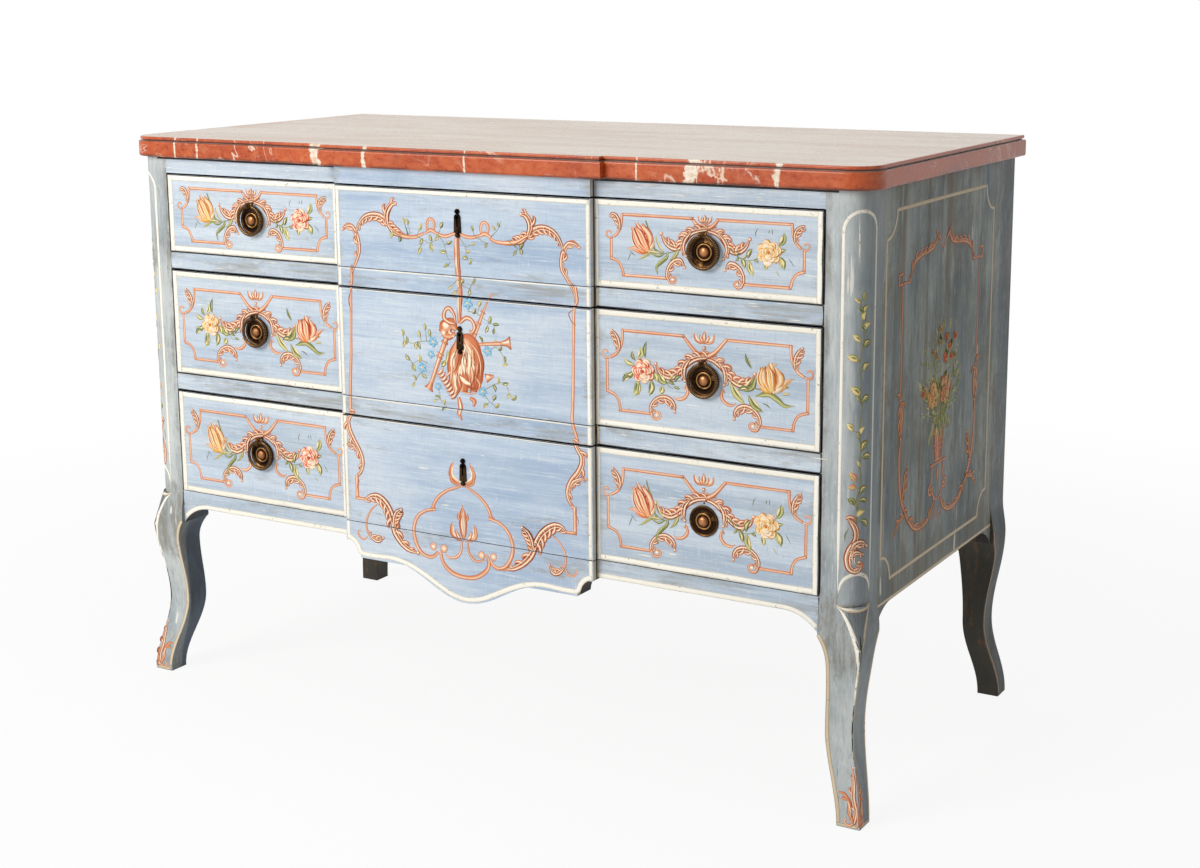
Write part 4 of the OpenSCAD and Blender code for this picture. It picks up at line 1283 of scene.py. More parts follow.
        f = float(flare)
        petals = (
            ([(0.3, 0.1), (0.65, 0.22), (0.94, 0.3 * f)], 0.3, petal),
            ([(0.3, -0.05), (0.7, -0.1), (1.0, -0.06)], 0.3, light),
            ([(0.3, -0.1), (0.6, -0.34 * f), (0.86, -0.34 * f)], 0.28, petal),
            ([(0.02, 0.05 * f), (0.1, 0.4 * f), (0.28, 0.66 * f), (0.38, 0.95 * f)], 0.26, petal),
            ([(0.0, 0.0), (0.18, 0.34), (0.5, 0.42), (0.82, 0.3)], 0.36, petal),
            ([(0.0, 0.0), (0.18, -0.34), (0.5, -0.42), (0.8, -0.26)], 0.36, light),
            ([(0.0, 0.0), (0.3, 0.05), (0.6, 0.04), (0.88, 0.1)], 0.52, petal),
        )
        for lead, wide, paint in petals:
            points = [at(*q) for q in lead]
            w = width * wide
            self.lay(points, (w * 0.7, w * 1.05, w, w * 0.75, w * 0.12), paint, pace=1.4)
            for k, share in enumerate((-0.4, -0.24, -0.08, 0.08, 0.24, 0.4)):
                streak = [at(t * 0.92 + 0.05, a + wide * share * (1.0 if 0.1 < t < 0.8 else 0.5))
                          for t, a in lead]
                tones = (deep, light, petal, light, deep,
                         light) if paint is petal else (deep, petal, light, light, petal, deep)
                self.lay(streak, (0.2, w * 0.1, w * 0.13, 0.2), tones[k], pace=2.0)

    def floret(self, centre: Point, radius: float) -> None:
        """Paints a small blue flower with a yellow eye."""
        x, y = centre
        turn = self.rng.uniform(0, 72)
        for k in range(5):
            a = math.radians(turn + 72 * k)
            self.leaf((x, y), (x + radius * math.cos(a), y + radius * math.sin(a)), radius * 0.82, 0.05, SKY)
        self.dab((x, y), radius * 0.26, BUTTER)
        self.dab((x + 0.3, y - 0.3), radius * 0.14, APRICOT)

    def sprig(self, stem: Sequence[Point], leaves: Sequence[Point], size: float = 8.0,
              width: float = 4.4) -> None:
        """Paints a fine stem and small leaves that grow from it.

        Args:
            stem: The points of the stem.
            leaves: The middle of each leaf.
            size: The length of a leaf.
            width: Its width.
        """
        line = smooth_line(stem, 2.0) if len(stem) > 1 else list(stem)
        if len(stem) > 1:
            self.lay(stem, (1.1, 0.9, 0.5), STALK)
        for spot in leaves:
            root = min(line, key=lambda p: math.dist(p, spot))
            dx, dy = spot[0] - root[0], spot[1] - root[1]
            far = math.hypot(dx, dy) or 1.0
            long = size * self.rng.uniform(1.0, 1.35)
            start = (spot[0] - dx / far * long * 0.5, spot[1] - dy / far * long * 0.5)
            end = (spot[0] + dx / far * long * 0.5, spot[1] + dy / far * long * 0.5)
            if far > long * 0.6:
                self.lay([root, start], (0.8, 0.6), STALK)
            pick = self.rng.random()
            paint = OLIVE if pick < 0.5 else STRAW if pick < 0.8 else FERN
            self.leaf(start, end, width * self.rng.uniform(1.05, 1.35), self.rng.uniform(-0.15, 0.15), paint)


# ---------------------------------------------------------------- the front's ornament


@dataclass
class FieldOrnament:
    """The terracotta frame, flowers and cream border of one side field's drawer front."""

    drawer: str
    sign: int
    flower: tuple[Brush, Brush, Brush]
    tulip: tuple[Brush, Brush, Brush]
    rose_left: bool

    def build(self) -> None:
        """Paints the field."""
        z0, z1 = DRAWERS[self.drawer]
        inner, outer = HALF_CENTRE, HALF_W - POST_W - 2
        low, high = (inner, outer) if self.sign > 0 else (-outer, -inner)
        name = f"{self.drawer}_field_{side_name(self.sign)}"
        canvas = Canvas(name, f"{self.drawer}_drawer", FrontFace(0.0),
                        (low + 0.2, high - 0.2, z0 + 0.3, z1 - 0.3))
        self.border(canvas, z0, z1, inner, outer)
        centre = (self.sign * HANDLE_X, HANDLE_Z[self.drawer])
        frame_painter = Painter([canvas], name, centre, 1.012)
        if self.drawer == "top":
            self.upper_frame(frame_painter)
        else:
            self.lower_frame(frame_painter)
        if self.rose_left:
            self.flowers(Painter([canvas], name + "_flowers", centre))
        else:
            self.flowers_reversed(Painter([canvas], name + "_flowers", centre))
        canvas.build("blue_paint")

    def border(self, canvas: Canvas, z0: float, z1: float, inner: float, outer: float) -> None:
        """Paints the cream band round the drawer front.

        Args:
            canvas: Where it is painted.
            z0: The front's lower edge.
            z1: Its upper edge.
            inner: Where the field meets the breakfront.
            outer: Its outer edge.
        """
        s = self.sign
        rng = canvas.rng
        wide = [[w * rng.uniform(0.9, 1.08) for _ in range(9)] for w in (9, 9, 9, 6.5)]
        canvas.stroke([(s * inner, z1 - 4.3), (s * (inner + outer) / 2, z1 - 4.6), (s * outer, z1 - 4.3)],
                      wide[0], CREAM, 0.12)
        canvas.stroke([(s * inner, z0 + 4.3), (s * (inner + outer) / 2, z0 + 4.4), (s * outer, z0 + 4.3)],
                      wide[1], CREAM, 0.12)
        canvas.stroke([(s * (outer - 4.2), z0), (s * (outer - 4.4), (z0 + z1) / 2), (s * (outer - 4.2), z1)],
                      wide[2], CREAM, 0.12)
        clear = 3.3 if s > 0 else 9.4
        canvas.stroke([(s * (inner + clear), z0), (s * (inner + clear - 0.3), (z0 + z1) / 2),
                       (s * (inner + clear), z1)], wide[3], CREAM, 0.12)
        # Painted shadow lines: the gap along the outer edge on the right, and the gap over the drawer.
        if s > 0:
            canvas.stroke([(outer - 0.5, z0), (outer - 0.8, (z0 + z1) / 2), (outer - 0.5, z1)],
                          (2.2, 1.4, 2.6, 1.6, 2.2), SHADE_AND_SOOT, 0.12)
        canvas.stroke([(s * inner, z1 - 0.4), (s * (inner + outer) / 2, z1 - 0.5), (s * outer, z1 - 0.4)],
                      (1.2, 1.6, 1, 1.8, 1.4), SHADE_AND_SOOT, 0.12)

    def lower_frame(self, p: Painter) -> None:
        """Draws the strapwork frame of a middle or bottom drawer."""
        for s in (1, -1):
            m = mirror(s)
            p.band(m([(31.5, 56.5), (122.5, 56.5)]))
            p.band(m([(146.5, -28), (146.5, 16.5)]))
            p.band(m([(78, -53.5), (126.5, -53.5)]))
            p.curve(m([(126.5, -54.5), (128, -43.5), (134, -33.5), (147.5, -28)]), (4.6, 4.2, 4.2, 4.6))
            p.curve(m([(122.5, 57.5), (122.8, 45), (125.5, 34), (132, 24), (142, 17.5)]),
                    (4.4, 4.2, 4.6, 4.6, 4.2))
            p.acanthus(m([(129, 27), (128.5, 36), (131, 45), (135, 51), (139.5, 56)]),
                       (3, 5.6, 6.4, 5.6, 3.6), -s, 4, 0.45)
            p.curve(m([(144, 17.5), (149, 16.5), (153, 20), (152.6, 25.6), (148, 27.4), (144.8, 24)]),
                    (3.2, 3.2, 3, 3, 2.2))
            p.curve(m([(-32, 57.5), (-26, 50.5), (-15, 38.5), (0, 29.5)]), (4.6, 5.6, 7))
            p.acanthus(m([(-4, 31.5), (11.5, 28.5), (24, 21.5), (34, 10.5), (41.5, 3.5), (54, -0.5),
                          (66.5, 5), (73, 16.5)]),
                       (6, 6.5, 7.5, 8, 7, 8.5, 6.5, 1.2), s, 8, 0.45)
            p.acanthus(m([(21, 26.5), (29, 17.5), (31, 5.5), (28, -5)]), (3, 7, 7, 1.5), s, 4, 0.5)
            p.curve(m([(26.5, -9), (24.8, -20), (31, -27.5), (39.5, -29.5), (46, -26.5)]),
                    (2.2, 5.2, 5.2, 4.6, 1.4))
            p.curve(m([(27, -8), (29.5, -14)]), (1.2, 2.6))
            p.acanthus(m([(79.5, -53), (79, -43.5), (73, -34.5), (62, -29.5), (51, -31.5), (44.5, -39.5),
                          (43.5, -49)]),
                       (4.6, 5.2, 5.6, 6.4, 7, 6, 1.4), s, 5, 0.45)
            p.curve(m([(79.5, -52), (76, -59), (69, -59.5), (65, -54.5), (68, -50), (73, -51.5)]),
                    (4.2, 4.2, 3.6, 3))
            p.dab((s * 70.5, -54), 2.6, PEACH)
        self.anthemion(p, (-0.5, 49), 16.5)

    def upper_frame(self, p: Painter) -> None:
        """Draws the strapwork frame of the top drawer."""
        for s in (1, -1):
            m = mirror(s)
            p.band(m([(18.5, 42.5), (122, 42.5)]))
            p.band(m([(139, -16.5), (139, 10)]))
            p.band(m([(56, -38.5), (120.5, -38.5)]))
            p.curve(m([(120.5, -39.5), (122.5, -30.5), (128.5, -21), (140, -16.5)]), (4.6, 4.2, 4.2, 4.6))
            p.curve(m([(122, 43.5), (122.8, 34), (124.5, 25.5), (128.8, 18), (135, 12)]),
                    (4.4, 4, 4.2, 4.4, 4.2))
            if s > 0:
                p.acanthus([(126.5, 20), (126.5, 28), (129, 35), (134, 39), (139.5, 41)], (3, 5, 5.6, 5, 3.4),
                           -1, 4, 0.5)
            else:
                p.acanthus([(-126, 21), (-126.8, 29), (-129, 36), (-133, 41), (-138, 42), (-141, 38)],
                           (2.6, 4.6, 5.6, 5.8, 5, 2.6), 1, 4, 0.25)
            p.curve(m([(136.5, 12), (141, 10.4), (145.6, 13), (145.4, 18), (141, 19.4), (138.6, 16.4)]),
                    (3, 2.8, 2.8, 2.6, 2))
            p.curve(m([(-19, 43), (-12, 35), (0, 28)]), (4.6, 5.4, 6.4))
            p.acanthus(m([(-4, 30), (8, 27.5), (18, 24.5), (27.5, 16.5), (34.5, 6.5), (42, 2.5), (52, 5),
                          (60, 13), (64.5, 21.5)]),
                       (5.6, 6, 7, 7.4, 7, 7.8, 6, 1.2), s, 8, 0.42)
            p.acanthus(m([(20, 25), (29, 15.5), (32.5, 3.5), (26, -9)]), (3, 6.6, 6.6, 1.5), s, 4, 0.5)
            p.acanthus(m([(54.5, -38), (54, -28), (47.5, -17.5), (36.5, -13.5), (28, -23.5)]),
                       (4.4, 5.4, 6.2, 6.4, 1.2), s, 4, 0.45)
            p.curve(m([(54.5, -37), (51.5, -43), (45.5, -43.5), (42, -39.5), (45, -35.5), (49, -37)]),
                    (4, 4, 3.4, 2.8))
            p.dab((s * 46.5, -39.5), 2.2, PEACH)
        self.anthemion(p, (0.0, 37.5), 11)

    def anthemion(self, p: Painter, base: Point, size: float) -> None:
        """Paints the small palmette over the crossing and its bead."""
        x, y = base
        for dx, dy, w, bend in ((-0.92, 0.86, 0.36, 0.22), (0.92, 0.86, 0.36, -0.22),
                                (-0.42, 0.72, 0.3, 0.12), (0.42, 0.72, 0.3, -0.12), (0.0, 1.02, 0.4, 0.0)):
            tip = (x + dx * size, y + dy * size)
            p.leaf((x, y), tip, w * size, bend, RUST)
            p.leaf((x + dx * size * 0.2, y + dy * size * 0.2), (x + dx * size * 0.85, y + dy * size * 0.85),
                   w * size * 0.42, bend, PEACH)
        p.dab((x, y - size * 0.36), size * 0.18, RUST)
        p.dab((x - 0.4, y - size * 0.33), size * 0.08, PEACH)

    def flowers(self, p: Painter) -> None:
        """Paints the rose on one side of the handle and the tulip on the other."""
        drop = {"top": 3, "middle": 0.0, "bottom": 1.5}[self.drawer]
        squeeze = 0.86 if self.drawer == "top" else 1

        def at(a: float, b: float) -> Point:
            """Places one point, flattened a little on the top drawer."""
            return (a, b * squeeze + drop)

        p.lay([at(-78, -6), at(-62, -3), at(-48, -6), at(-36, -4)], (1, 1.4, 1.2, 0.8), STALK)
        p.lay([at(-60, -3), at(-52, -14), at(-46, -16)], (0.8, 1, 0.6), STALK)
        for base, tip, width, bend, paint in (
            ((-101, 20), (-97, 36), 7, -0.3, STRAW), ((-104, 17), (-109, 30), 5, 0.2, OLIVE),
            ((-89, 22), (-87, 45), 5.5, 0.1, FERN), ((-106, 12), (-122, 19), 6.5, 0.2, STRAW),
            ((-107, 2), (-123, -3), 8.5, 0.25, OLIVE), ((-112, -5), (-124, -14), 7, -0.2, FERN),
            ((-101, -9), (-106, -32), 12, 0.1, STRAW), ((-98, -12), (-99, -30), 6, -0.1, OLIVE),
            ((-80, -7), (-83, -29), 10, 0.1, OLIVE), ((-77, 4), (-70, -10), 9, 0.1, STRAW),
            ((-68, 2), (-56, -10), 11, -0.15, OLIVE), ((-63, -14), (-67, -25), 9, 0.1, STRAW),
            ((-44, -6), (-35, 3), 5, 0.2, FERN), ((-46, -14), (-37, -16), 4.5, 0.1, OLIVE),
            ((-52, -3), (-46, 4), 4, -0.1, STRAW), ((-55, -8), (-44, -11), 4, 0.1, OLIVE),
        ):
            p.leaf(at(*base), at(*tip), width, bend, paint)
        p.rose(at(-92, 3.5), 17.5 if self.drawer != "top" else 16.5, *self.flower)
        for base, tip, width, bend, paint in (
            ((52, -8), (75, 15), 8, -0.25, OLIVE), ((38, 2), (60, -26), 8.5, -0.12, STRAW),
            ((64, -13), (86, -34), 8, -0.15, OLIVE), ((50, -8), (66, -6), 6, 0.2, FERN),
            ((108, -2), (122, 2), 4, 0.2, FERN), ((112, -8), (124, -7), 4, 0.1, STRAW),
            ((59, 42), (69, 22), 4, -0.1, FERN), ((84, -22), (96, -28), 2, 0.1, FERN),
        ):
            p.leaf(at(*base), at(*tip), width, bend, paint)
        p.lay([at(74, -14), at(92, -9), at(104, -14), at(116, -22), at(130, -21)], (2, 8, 8.5, 6, 0.8), OLIVE)
        p.lay([at(78, -13), at(93, -9.5), at(105, -15), at(118, -22)], (0.6, 1.8, 1.6, 0.4), STRAW)
        p.lay([at(97, -6), at(80, -4), at(62, -2), at(46, 2)], (1.6, 1.4, 1.2, 0.8), STALK)
        p.tulip(at(98, -5), at(93, 33), 33, -1, *self.tulip)

    def flowers_reversed(self, p: Painter) -> None:
        """Paints the leaning tulip on one side of the handle and the rose with its twig on the other."""
        tall = 1 if self.drawer == "top" else 1.22

        def at(a: float, b: float) -> Point:
            """Places one point, stretched on the lower drawers."""
            return (a, b * tall)

        for stem in ([(-81, 2), (-73, -1), (-62, -5.6), (-52, -4.2), (-38, -0.4)],
                     [(37, 8), (49, -4), (63, -7.4), (78, -3)], [(-62, -5.6), (-70, -6), (-80, -5)]):
            p.lay([at(*q) for q in stem], (1.5, 1.3, 1), STALK)
        for line, wide, paint in (
            (((-71.5, -4.6), (-78, 6.6), (-81.5, 20), (-88, 37)), 4.6, FERN),
            (((-60.7, -4), (-68, 4.3), (-72.5, 15.5)), 3.4, STRAW),
            (((-66, -6), (-79.8, -5.2), (-90, -11.6), (-100, -16.5)), 5.4, STRAW),
            (((-60, -6.5), (-70, -10), (-80, -6)), 3.4, OLIVE),
            (((-55, -3.5), (-56.6, -11), (-66.5, -19), (-71.5, -25), (-70, -34)), 6.2, OLIVE),
            (((-38.5, 0.3), (-45, -9), (-51.6, -14)), 5.4, STRAW),
            (((-109.6, -6.4), (-115.4, -18.5)), 1.4, FERN), (((-112, -5), (-104, -12)), 1.2, FERN),
        ):
            points = [at(*q) for q in line]
            p.lay(points, (wide * 0.3, wide * 0.9, wide, wide * 0.7, 0.5), paint)
            if wide > 2:
                p.lay([(a + 0.7, b + 0.5) for a, b in points], (0.3, wide * 0.34, wide * 0.3, 0.3),
                      BUTTER if paint is STRAW else STRAW)
                p.lay([(a - 0.8, b - 0.5) for a, b in points], (0.3, wide * 0.16, wide * 0.14, 0.3), FERN)
        for base, tip, wide, bend, paint in (
            ((106, 14), (113, 31), 9, -0.12, OLIVE), ((104, 4), (116, 9.6), 6, 0.1, OLIVE),
            ((105, 0.5), (113, -16), 9.5, 0.1, OLIVE), ((107, -3), (110, -13), 5, -0.1, STRAW),
            ((85, -7), (88, -18), 7.5, 0.1, STRAW), ((63.5, -7), (69.5, -27), 9.5, -0.08, STRAW),
            ((52, -4), (57.5, -18), 7, 0.08, OLIVE), ((62, -4.6), (68, 8.5), 7, 0.12, OLIVE),
            ((49, -3), (44, -9), 3.4, 0.1, OLIVE), ((56, -5.5), (60, -1), 3.4, 0.1, STRAW),
            ((70, -6), (77, -9), 4.4, 0.1, OLIVE), ((46, 0), (52, 2), 3, 0.0, FERN),
            ((72, 24), (76, 35), 1.3, 0.1, FERN), ((91, 29), (92, 34), 1.3, 0.0, FERN),
            ((96, 28), (96, 35), 1.3, 0.0, FERN), ((119, -1), (127, -11), 1.2, 0.0, FERN),
            ((101, -18), (107, -25), 1.6, 0.0, STRAW),
        ):
            p.leaf(at(*base), at(*tip), wide, bend, paint)
        p.tulip(at(-84, -4), at(-104, 33), 27, 1, *self.tulip)
        p.rose(at(92, 5), 17.5 if self.drawer == "top" else 18.5, *self.flower)


@dataclass
class CentreOrnament:
    """The ornament of the breakfront: ribbon swags, trophy, side lines, scrolls and cartouche."""

    canvases: list[Canvas] = field(default_factory=list)

    def build(self) -> None:
        """Paints the centre over the drawers, the rails and the apron."""
        face = FrontFace(-STEP)
        x0, x1 = -HALF_CENTRE + 0.2, HALF_CENTRE - 0.2
        for name, (z0, z1) in DRAWERS.items():
            self.canvases.append(Canvas(f"{name}_centre", f"{name}_drawer", face,
                                        (x0, x1, z0 + 0.3, z1 - 0.3)))
        for name, (z0, z1) in RAILS.items():
            self.canvases.append(Canvas(f"{name}_rail_centre", "carcass", face, (x0, x1, z0 + 0.2, z1 - 0.2)))
        self.canvases.append(Canvas("apron_centre", "carcass", face, (x0, x1, 200, 305.2)))
        p = Painter(self.canvases, "centre")
        self.bands(p)
        self.swags(p)
        self.side_lines(p)
        self.scrolls(p)
        self.cartouche(p)
        self.trophy(p)
        for canvas in self.canvases:
            canvas.build("blue_paint")

    def bands(self, p: Painter) -> None:
        """Paints the cream bands by the steps, under the frieze and along the apron."""
        for s in (1, -1):
            p.lay([(s * 211, 806), (s * 210.6, 560), (s * 211, 276)], [6, 5.2, 6.2, 5.4, 6.4, 5.6, 6], CREAM,
                  0.12, 6)
        p.lay([(-214, 803.6), (0, 804), (214, 803.6)], [7.6, 7, 8, 7.2, 7.8], CREAM, 0.12, 6)
        # Painted shadow under the top's overhang.
        p.lay([(-214, 832.6), (0, 832.3), (214, 832.6)], [3.6, 3, 3.8, 3.2, 3.6], SHADE_AND_SOOT, 0.1, 6)
        for _, z1 in DRAWERS.values():
            # Painted shadow in the gap over each drawer.
            p.lay([(-214, z1 - 0.5), (0, z1 - 0.6), (214, z1 - 0.5)], [1.4, 1.9, 1.3, 2, 1.6], SHADE_AND_SOOT, 0.1, 6)
            p.lay([(-214, z1 - 2.2), (0, z1 - 2.3), (214, z1 - 2.2)], [0.8, 1.5, 0.7, 1.4, 0.9], CREAM, 0.1,
                  6)
        for _, z1 in RAILS.values():
            p.lay([(-214, z1 - 1.6), (0, z1 - 1.4), (214, z1 - 1.6)], [1.2, 2, 1, 2.2, 1.4], CREAM, 0.1, 6)
        edge = apron_line(3.6)
        p.lay(edge, [7.6, 7, 7.8, 7.2, 8, 7.4, 7.6], CREAM, 0.12, 4)

    def swags(self, p: Painter) -> None:
        """Paints the feathered scrolls and the ribbon of the top drawer."""
        p.acanthus([(-190, 662), (-189, 680), (-181, 697), (-175, 712), (-176, 730), (-182.5, 744),
                    (-192.5, 750), (-204, 742)], (2.6, 3.6, 4.6, 5.6, 6.6, 7, 6.6, 4), 1, 5, 0.3)
        p.acanthus([(-121, 756), (-130, 764), (-142, 767.5), (-157, 765.5), (-166, 760), (-172, 752.5),
                    (-177, 744), (-179.5, 735)], (7, 8, 8, 7.4, 6.6, 5.4, 4.4, 2.4), 1, 7, 0.4)
        p.acanthus([(-121, 756), (-110, 744.5), (-93, 738)], (6, 7.6, 3), 1, 5, 0.45)
        p.acanthus([(-122, 755), (-123, 768), (-119, 778), (-112, 785), (-105, 785)], (5, 7.6, 8.4, 8, 5), 1,
                   3, 0.3)
        p.acanthus([(191, 662), (190, 678), (180, 695), (170.5, 710), (170.5, 725), (176, 740), (187, 747),
                    (199, 740)], (2.6, 3.6, 4.6, 5.6, 6.6, 7, 6.6, 4), -1, 5, 0.3)
        p.acanthus([(113, 752), (125, 760.5), (138, 764.5), (150, 763), (160, 757), (167, 748), (171, 738),
                    (172.5, 731)], (7, 8, 8, 7.4, 6.6, 5.4, 4.4, 2.4), -1, 7, 0.4)
        p.acanthus([(115, 753), (104, 744), (88, 740.5)], (6, 7.6, 3), -1, 5, 0.45)
        p.acanthus([(116, 752), (120, 762), (119, 772), (112.5, 780), (104, 781)], (5, 7.6, 8.4, 8, 5), -1, 3,
                   0.3)
        for points in (
            [(-120, 755), (-107.5, 744.5), (-90, 739.5), (-72.5, 740), (-58, 746)],
            [(118, 753), (110, 749), (97.5, 742.5), (80, 740), (62.5, 741), (54, 745)],
        ):
            p.curve(points, (3, 5.4, 7, 5.6, 4.6))
        for x in (-46, 45):
            p.curve([(x - 4, 748), (x - 6.5, 755), (x - 5.5, 763), (x - 0.5, 767), (x + 5, 763.5),
                     (x + 6, 756), (x + 3, 748)], (3.4, 4.4, 4.8, 4.6, 5, 4.4, 3))
            p.curve([(x - 10, 746), (x, 751), (x + 11, 746)], (4, 6.4, 4))
        p.curve([(-36, 747), (-22.5, 743.5), (-7.5, 748), (4, 752)], (4, 6, 5, 3))
        p.curve([(-3, 750), (14, 745), (26, 745), (36, 748)], (3, 5.6, 5.6, 4))
        p.curve([(-1, 752), (-2.6, 730), (-1.6, 700), (2, 662), (-1, 640), (0, 622)],
                (7, 9.6, 9.6, 8.6, 8, 7.4), RUST)
        for off, wide, paint in ((-3, 1.5, PEACH), (-1.2, 1.9, PEACH), (0.8, 0.7, DEEP), (2.3, 1.3, LINE),
                                 (3.6, 0.8, DEEP)):
            for top, low in ((748, 716), (722, 694), (700, 664), (668, 628)):
                lean = 1.6 if low < 690 else 0.0
                p.lay([(off - 1.4 + lean, top), (off - 2 + lean, (top + low) / 2), (off - 1.2 + lean, low)],
                      (0.3, wide * p.rng.uniform(0.6, 1.3), 0.3), paint)
        left = [(-93, 762), (-87, 760), (-64, 754), (-27, 759), (-101, 735), (-114, 740), (-64, 734),
                (-46, 740), (-45, 727), (-67, 721), (-36, 740), (-15, 735), (-26, 721), (-21, 702)]
        right = [(17, 724), (11, 716), (20, 711), (25, 735), (47, 735), (24, 757), (69, 765), (60, 760),
                 (94, 727), (106, 737), (105, 729)]
        p.sprig([(-116, 748), (-98, 741), (-78, 746)], left[0:2] + left[4:6], 9, 4.6)
        p.sprig([(-74, 743), (-62, 737), (-50, 733), (-38, 736)],
                [left[2], left[6], left[7], left[8], left[9]], 10, 5.2)
        p.sprig([(-34, 745), (-24, 733), (-20, 718), (-14, 706)], [left[3], *left[10:]], 9, 4.8)
        p.sprig([(2, 744), (12, 730), (14, 716), (22, 706)], right[0:4], 8, 4.4)
        p.sprig([(28, 747), (40, 741), (50, 737)], right[4:6], 8, 4.2)
        p.sprig([(56, 748), (66, 757), (72, 769)], right[6:8], 7, 3.8)
        p.sprig([(84, 744), (96, 736), (108, 727)], right[8:], 8, 4.2)

    def side_lines(self, p: Painter) -> None:
        """Draws the upright lines at the sides of the middle drawer."""
        p.curve([(-190, 690), (-188.5, 672), (-191, 657), (-193, 610), (-195, 560), (-198, 520), (-199, 500),
                 (-200, 470)], (4.6, 4.2, 5, 4.4, 5, 5.4, 6, 5))
        p.curve([(191, 687), (193.5, 668), (188.5, 655), (187, 610), (186, 560), (184.5, 520), (184, 500),
                 (192, 474)], (4.6, 4.2, 5, 4.4, 5, 5.4, 5.6, 5))
        p.curve([(-191, 656), (-196, 640), (-192, 622)], (1, 1.6, 0.6), DEEP)
        p.curve([(187, 656), (180, 650), (184, 640), (191, 634)], (0.8, 1.4, 1.2, 0.5), DEEP)

    def scrolls(self, p: Painter) -> None:
        """Paints the scrolls beside the bottom drawer and over the apron."""
        p.acanthus([(-192, 475), (-202, 465), (-205, 455), (-201, 440), (-192, 425), (-184, 411), (-181, 397),
                    (-185, 383), (-193, 375)], (4, 6, 7.4, 8, 8, 7.6, 7.6, 6, 4), -1, 5, 0.3)
        p.acanthus([(-190, 414), (-197, 421), (-208, 426)], (2, 6, 1), 1, 3, 0.4)
        p.band([(-192, 374), (-192.5, 343)], 6.6)
        p.band([(-192.5, 342.5), (-176, 343)], 5)
        p.acanthus([(-178, 342), (-168, 348), (-155, 350), (-142, 343), (-132, 330), (-127, 313),
                    (-124, 302)], (3, 7, 9, 9.5, 9, 9.5, 10), -1, 7, 0.5)
        p.acanthus([(-127, 316), (-124, 300), (-114, 286), (-101, 277), (-82, 273)], (9, 10, 9, 8, 3), 1, 4,
                   0.25)
        p.acanthus([(-124, 306), (-124, 320), (-119, 331), (-110, 336)], (5, 7, 7, 4), -1, 5, 0.55)
        p.curve([(-157, 337), (-168, 327), (-176, 312), (-176.5, 296), (-168, 285), (-156, 281)],
                (2, 3.2, 3.8, 4, 4.4, 4))
        p.acanthus([(-174, 292), (-165, 284), (-155, 282), (-145, 288)], (3, 6, 6.5, 1.2), 1, 4, 0.5)
        p.curve([(-175, 286), (-183, 280), (-191, 284), (-193, 291), (-188, 294)], (1.4, 3, 3.6, 3.2, 1.4))
        p.acanthus([(186, 476), (189, 466), (197, 456), (199, 444), (193, 430), (183, 418), (176.5, 405),
                    (176, 391), (184, 377)], (4, 6, 7.4, 8, 8, 7.6, 7.6, 6, 4), 1, 5, 0.3)
        p.acanthus([(178, 404), (186, 415), (196, 420), (207, 422)], (2, 6.5, 5, 1), -1, 3, 0.4)
        p.band([(186, 377), (186.5, 342)], 6.2)
        p.band([(186.5, 341.5), (170, 341.5)], 5)
        p.acanthus([(172, 342), (163, 348), (152, 348), (140, 341), (129, 330), (121, 315), (116, 303)],
                   (3, 7, 9, 9.5, 9, 9.5, 10), 1, 7, 0.5)
        p.acanthus([(120, 314), (113, 299), (101, 286), (85, 276), (66, 271)], (9, 9.5, 8.5, 7.5, 3), -1, 4,
                   0.25)
        p.acanthus([(117, 308), (114, 322), (108, 332), (99, 339)], (5, 7, 7, 3.4), 1, 5, 0.55)
        p.curve([(150, 333), (162, 323), (170, 308), (168.5, 290), (158, 280), (148, 279)],
                (2, 3, 3.6, 4, 4.4, 4))
        p.acanthus([(168, 289), (158, 280), (149, 280), (143, 291)], (3, 6, 6.5, 1.2), -1, 4, 0.5)
        p.curve([(169, 291), (174, 281), (182, 279), (188, 285), (186, 291)], (1.4, 3, 3.4, 3, 1.4))
        for s in (-1, 1):
            p.curve([(s * 186, 372), (s * 192, 360), (s * 189, 352)], (0.5, 0.9, 0.3), DEEP)

    def cartouche(self, p: Painter) -> None:
        """Draws the lobed frame under the bottom keyhole, its bowl and its palmette."""
        wide = (2.6, 4.6, 5.4, 6)
        p.curve([(1, 386), (-7, 383.5), (-27, 376), (-42, 366), (-51, 355), (-56, 344)], wide)
        p.curve([(0, 386), (8, 383), (22, 376), (34, 367), (42, 357), (47, 344)], wide)
        p.band([(-57, 343), (-52, 344)], 5.6)
        p.band([(44, 343), (50, 343)], 5.6)
        p.curve([(-55, 343), (-67, 340), (-80, 332), (-87.5, 320), (-90, 305), (-87, 290), (-79, 277),
                 (-67, 271), (-55, 273), (-47.5, 281)], (4.6, 5, 5.6, 6.4, 6.8, 6.6, 6, 6, 5.2))
        p.curve([(48, 342), (60, 339), (72, 331), (80, 318), (82.5, 303), (79, 289), (70, 276), (58, 271),
                 (49, 274), (43, 281)], (4.6, 5, 5.6, 6.4, 6.8, 6.6, 6, 6, 5.2))
        p.curl((-55.5, 287.5), 6.2)
        p.curl((49.5, 287), 6.2)
        p.curve([(-38, 287), (-42.5, 280), (-40, 268), (-33, 259), (-20, 251.5), (0, 249), (18, 252),
                 (32, 260.5), (40, 270), (40.5, 282), (35, 289)], (4, 6, 7.4, 7.2, 7, 7.2, 7.4, 6.4, 4))
        p.curl((-36.5, 287), 6.6)
        p.curl((29, 286.5), 6.2)
        p.curve([(-5, 302), (-7.5, 286), (-16, 277), (-27, 275), (-35, 279)], (3.6, 4.2, 5, 4, 2))
        p.curve([(4.5, 302), (7.5, 286), (15.5, 277.5), (26, 277), (33, 281)], (3.6, 4.2, 5, 4, 2))
        for base, tip, w, bend in (((-2, 303), (-3, 357), 15, 0.0), ((-4, 303), (-22, 330), 9.5, 0.28),
                                   ((1, 303), (18, 331), 9.5, -0.28), ((-5, 303), (-16, 320), 6.5, 0.1),
                                   ((2, 303), (13, 320), 6.5, -0.1)):
            p.leaf(base, tip, w, bend, RUST)
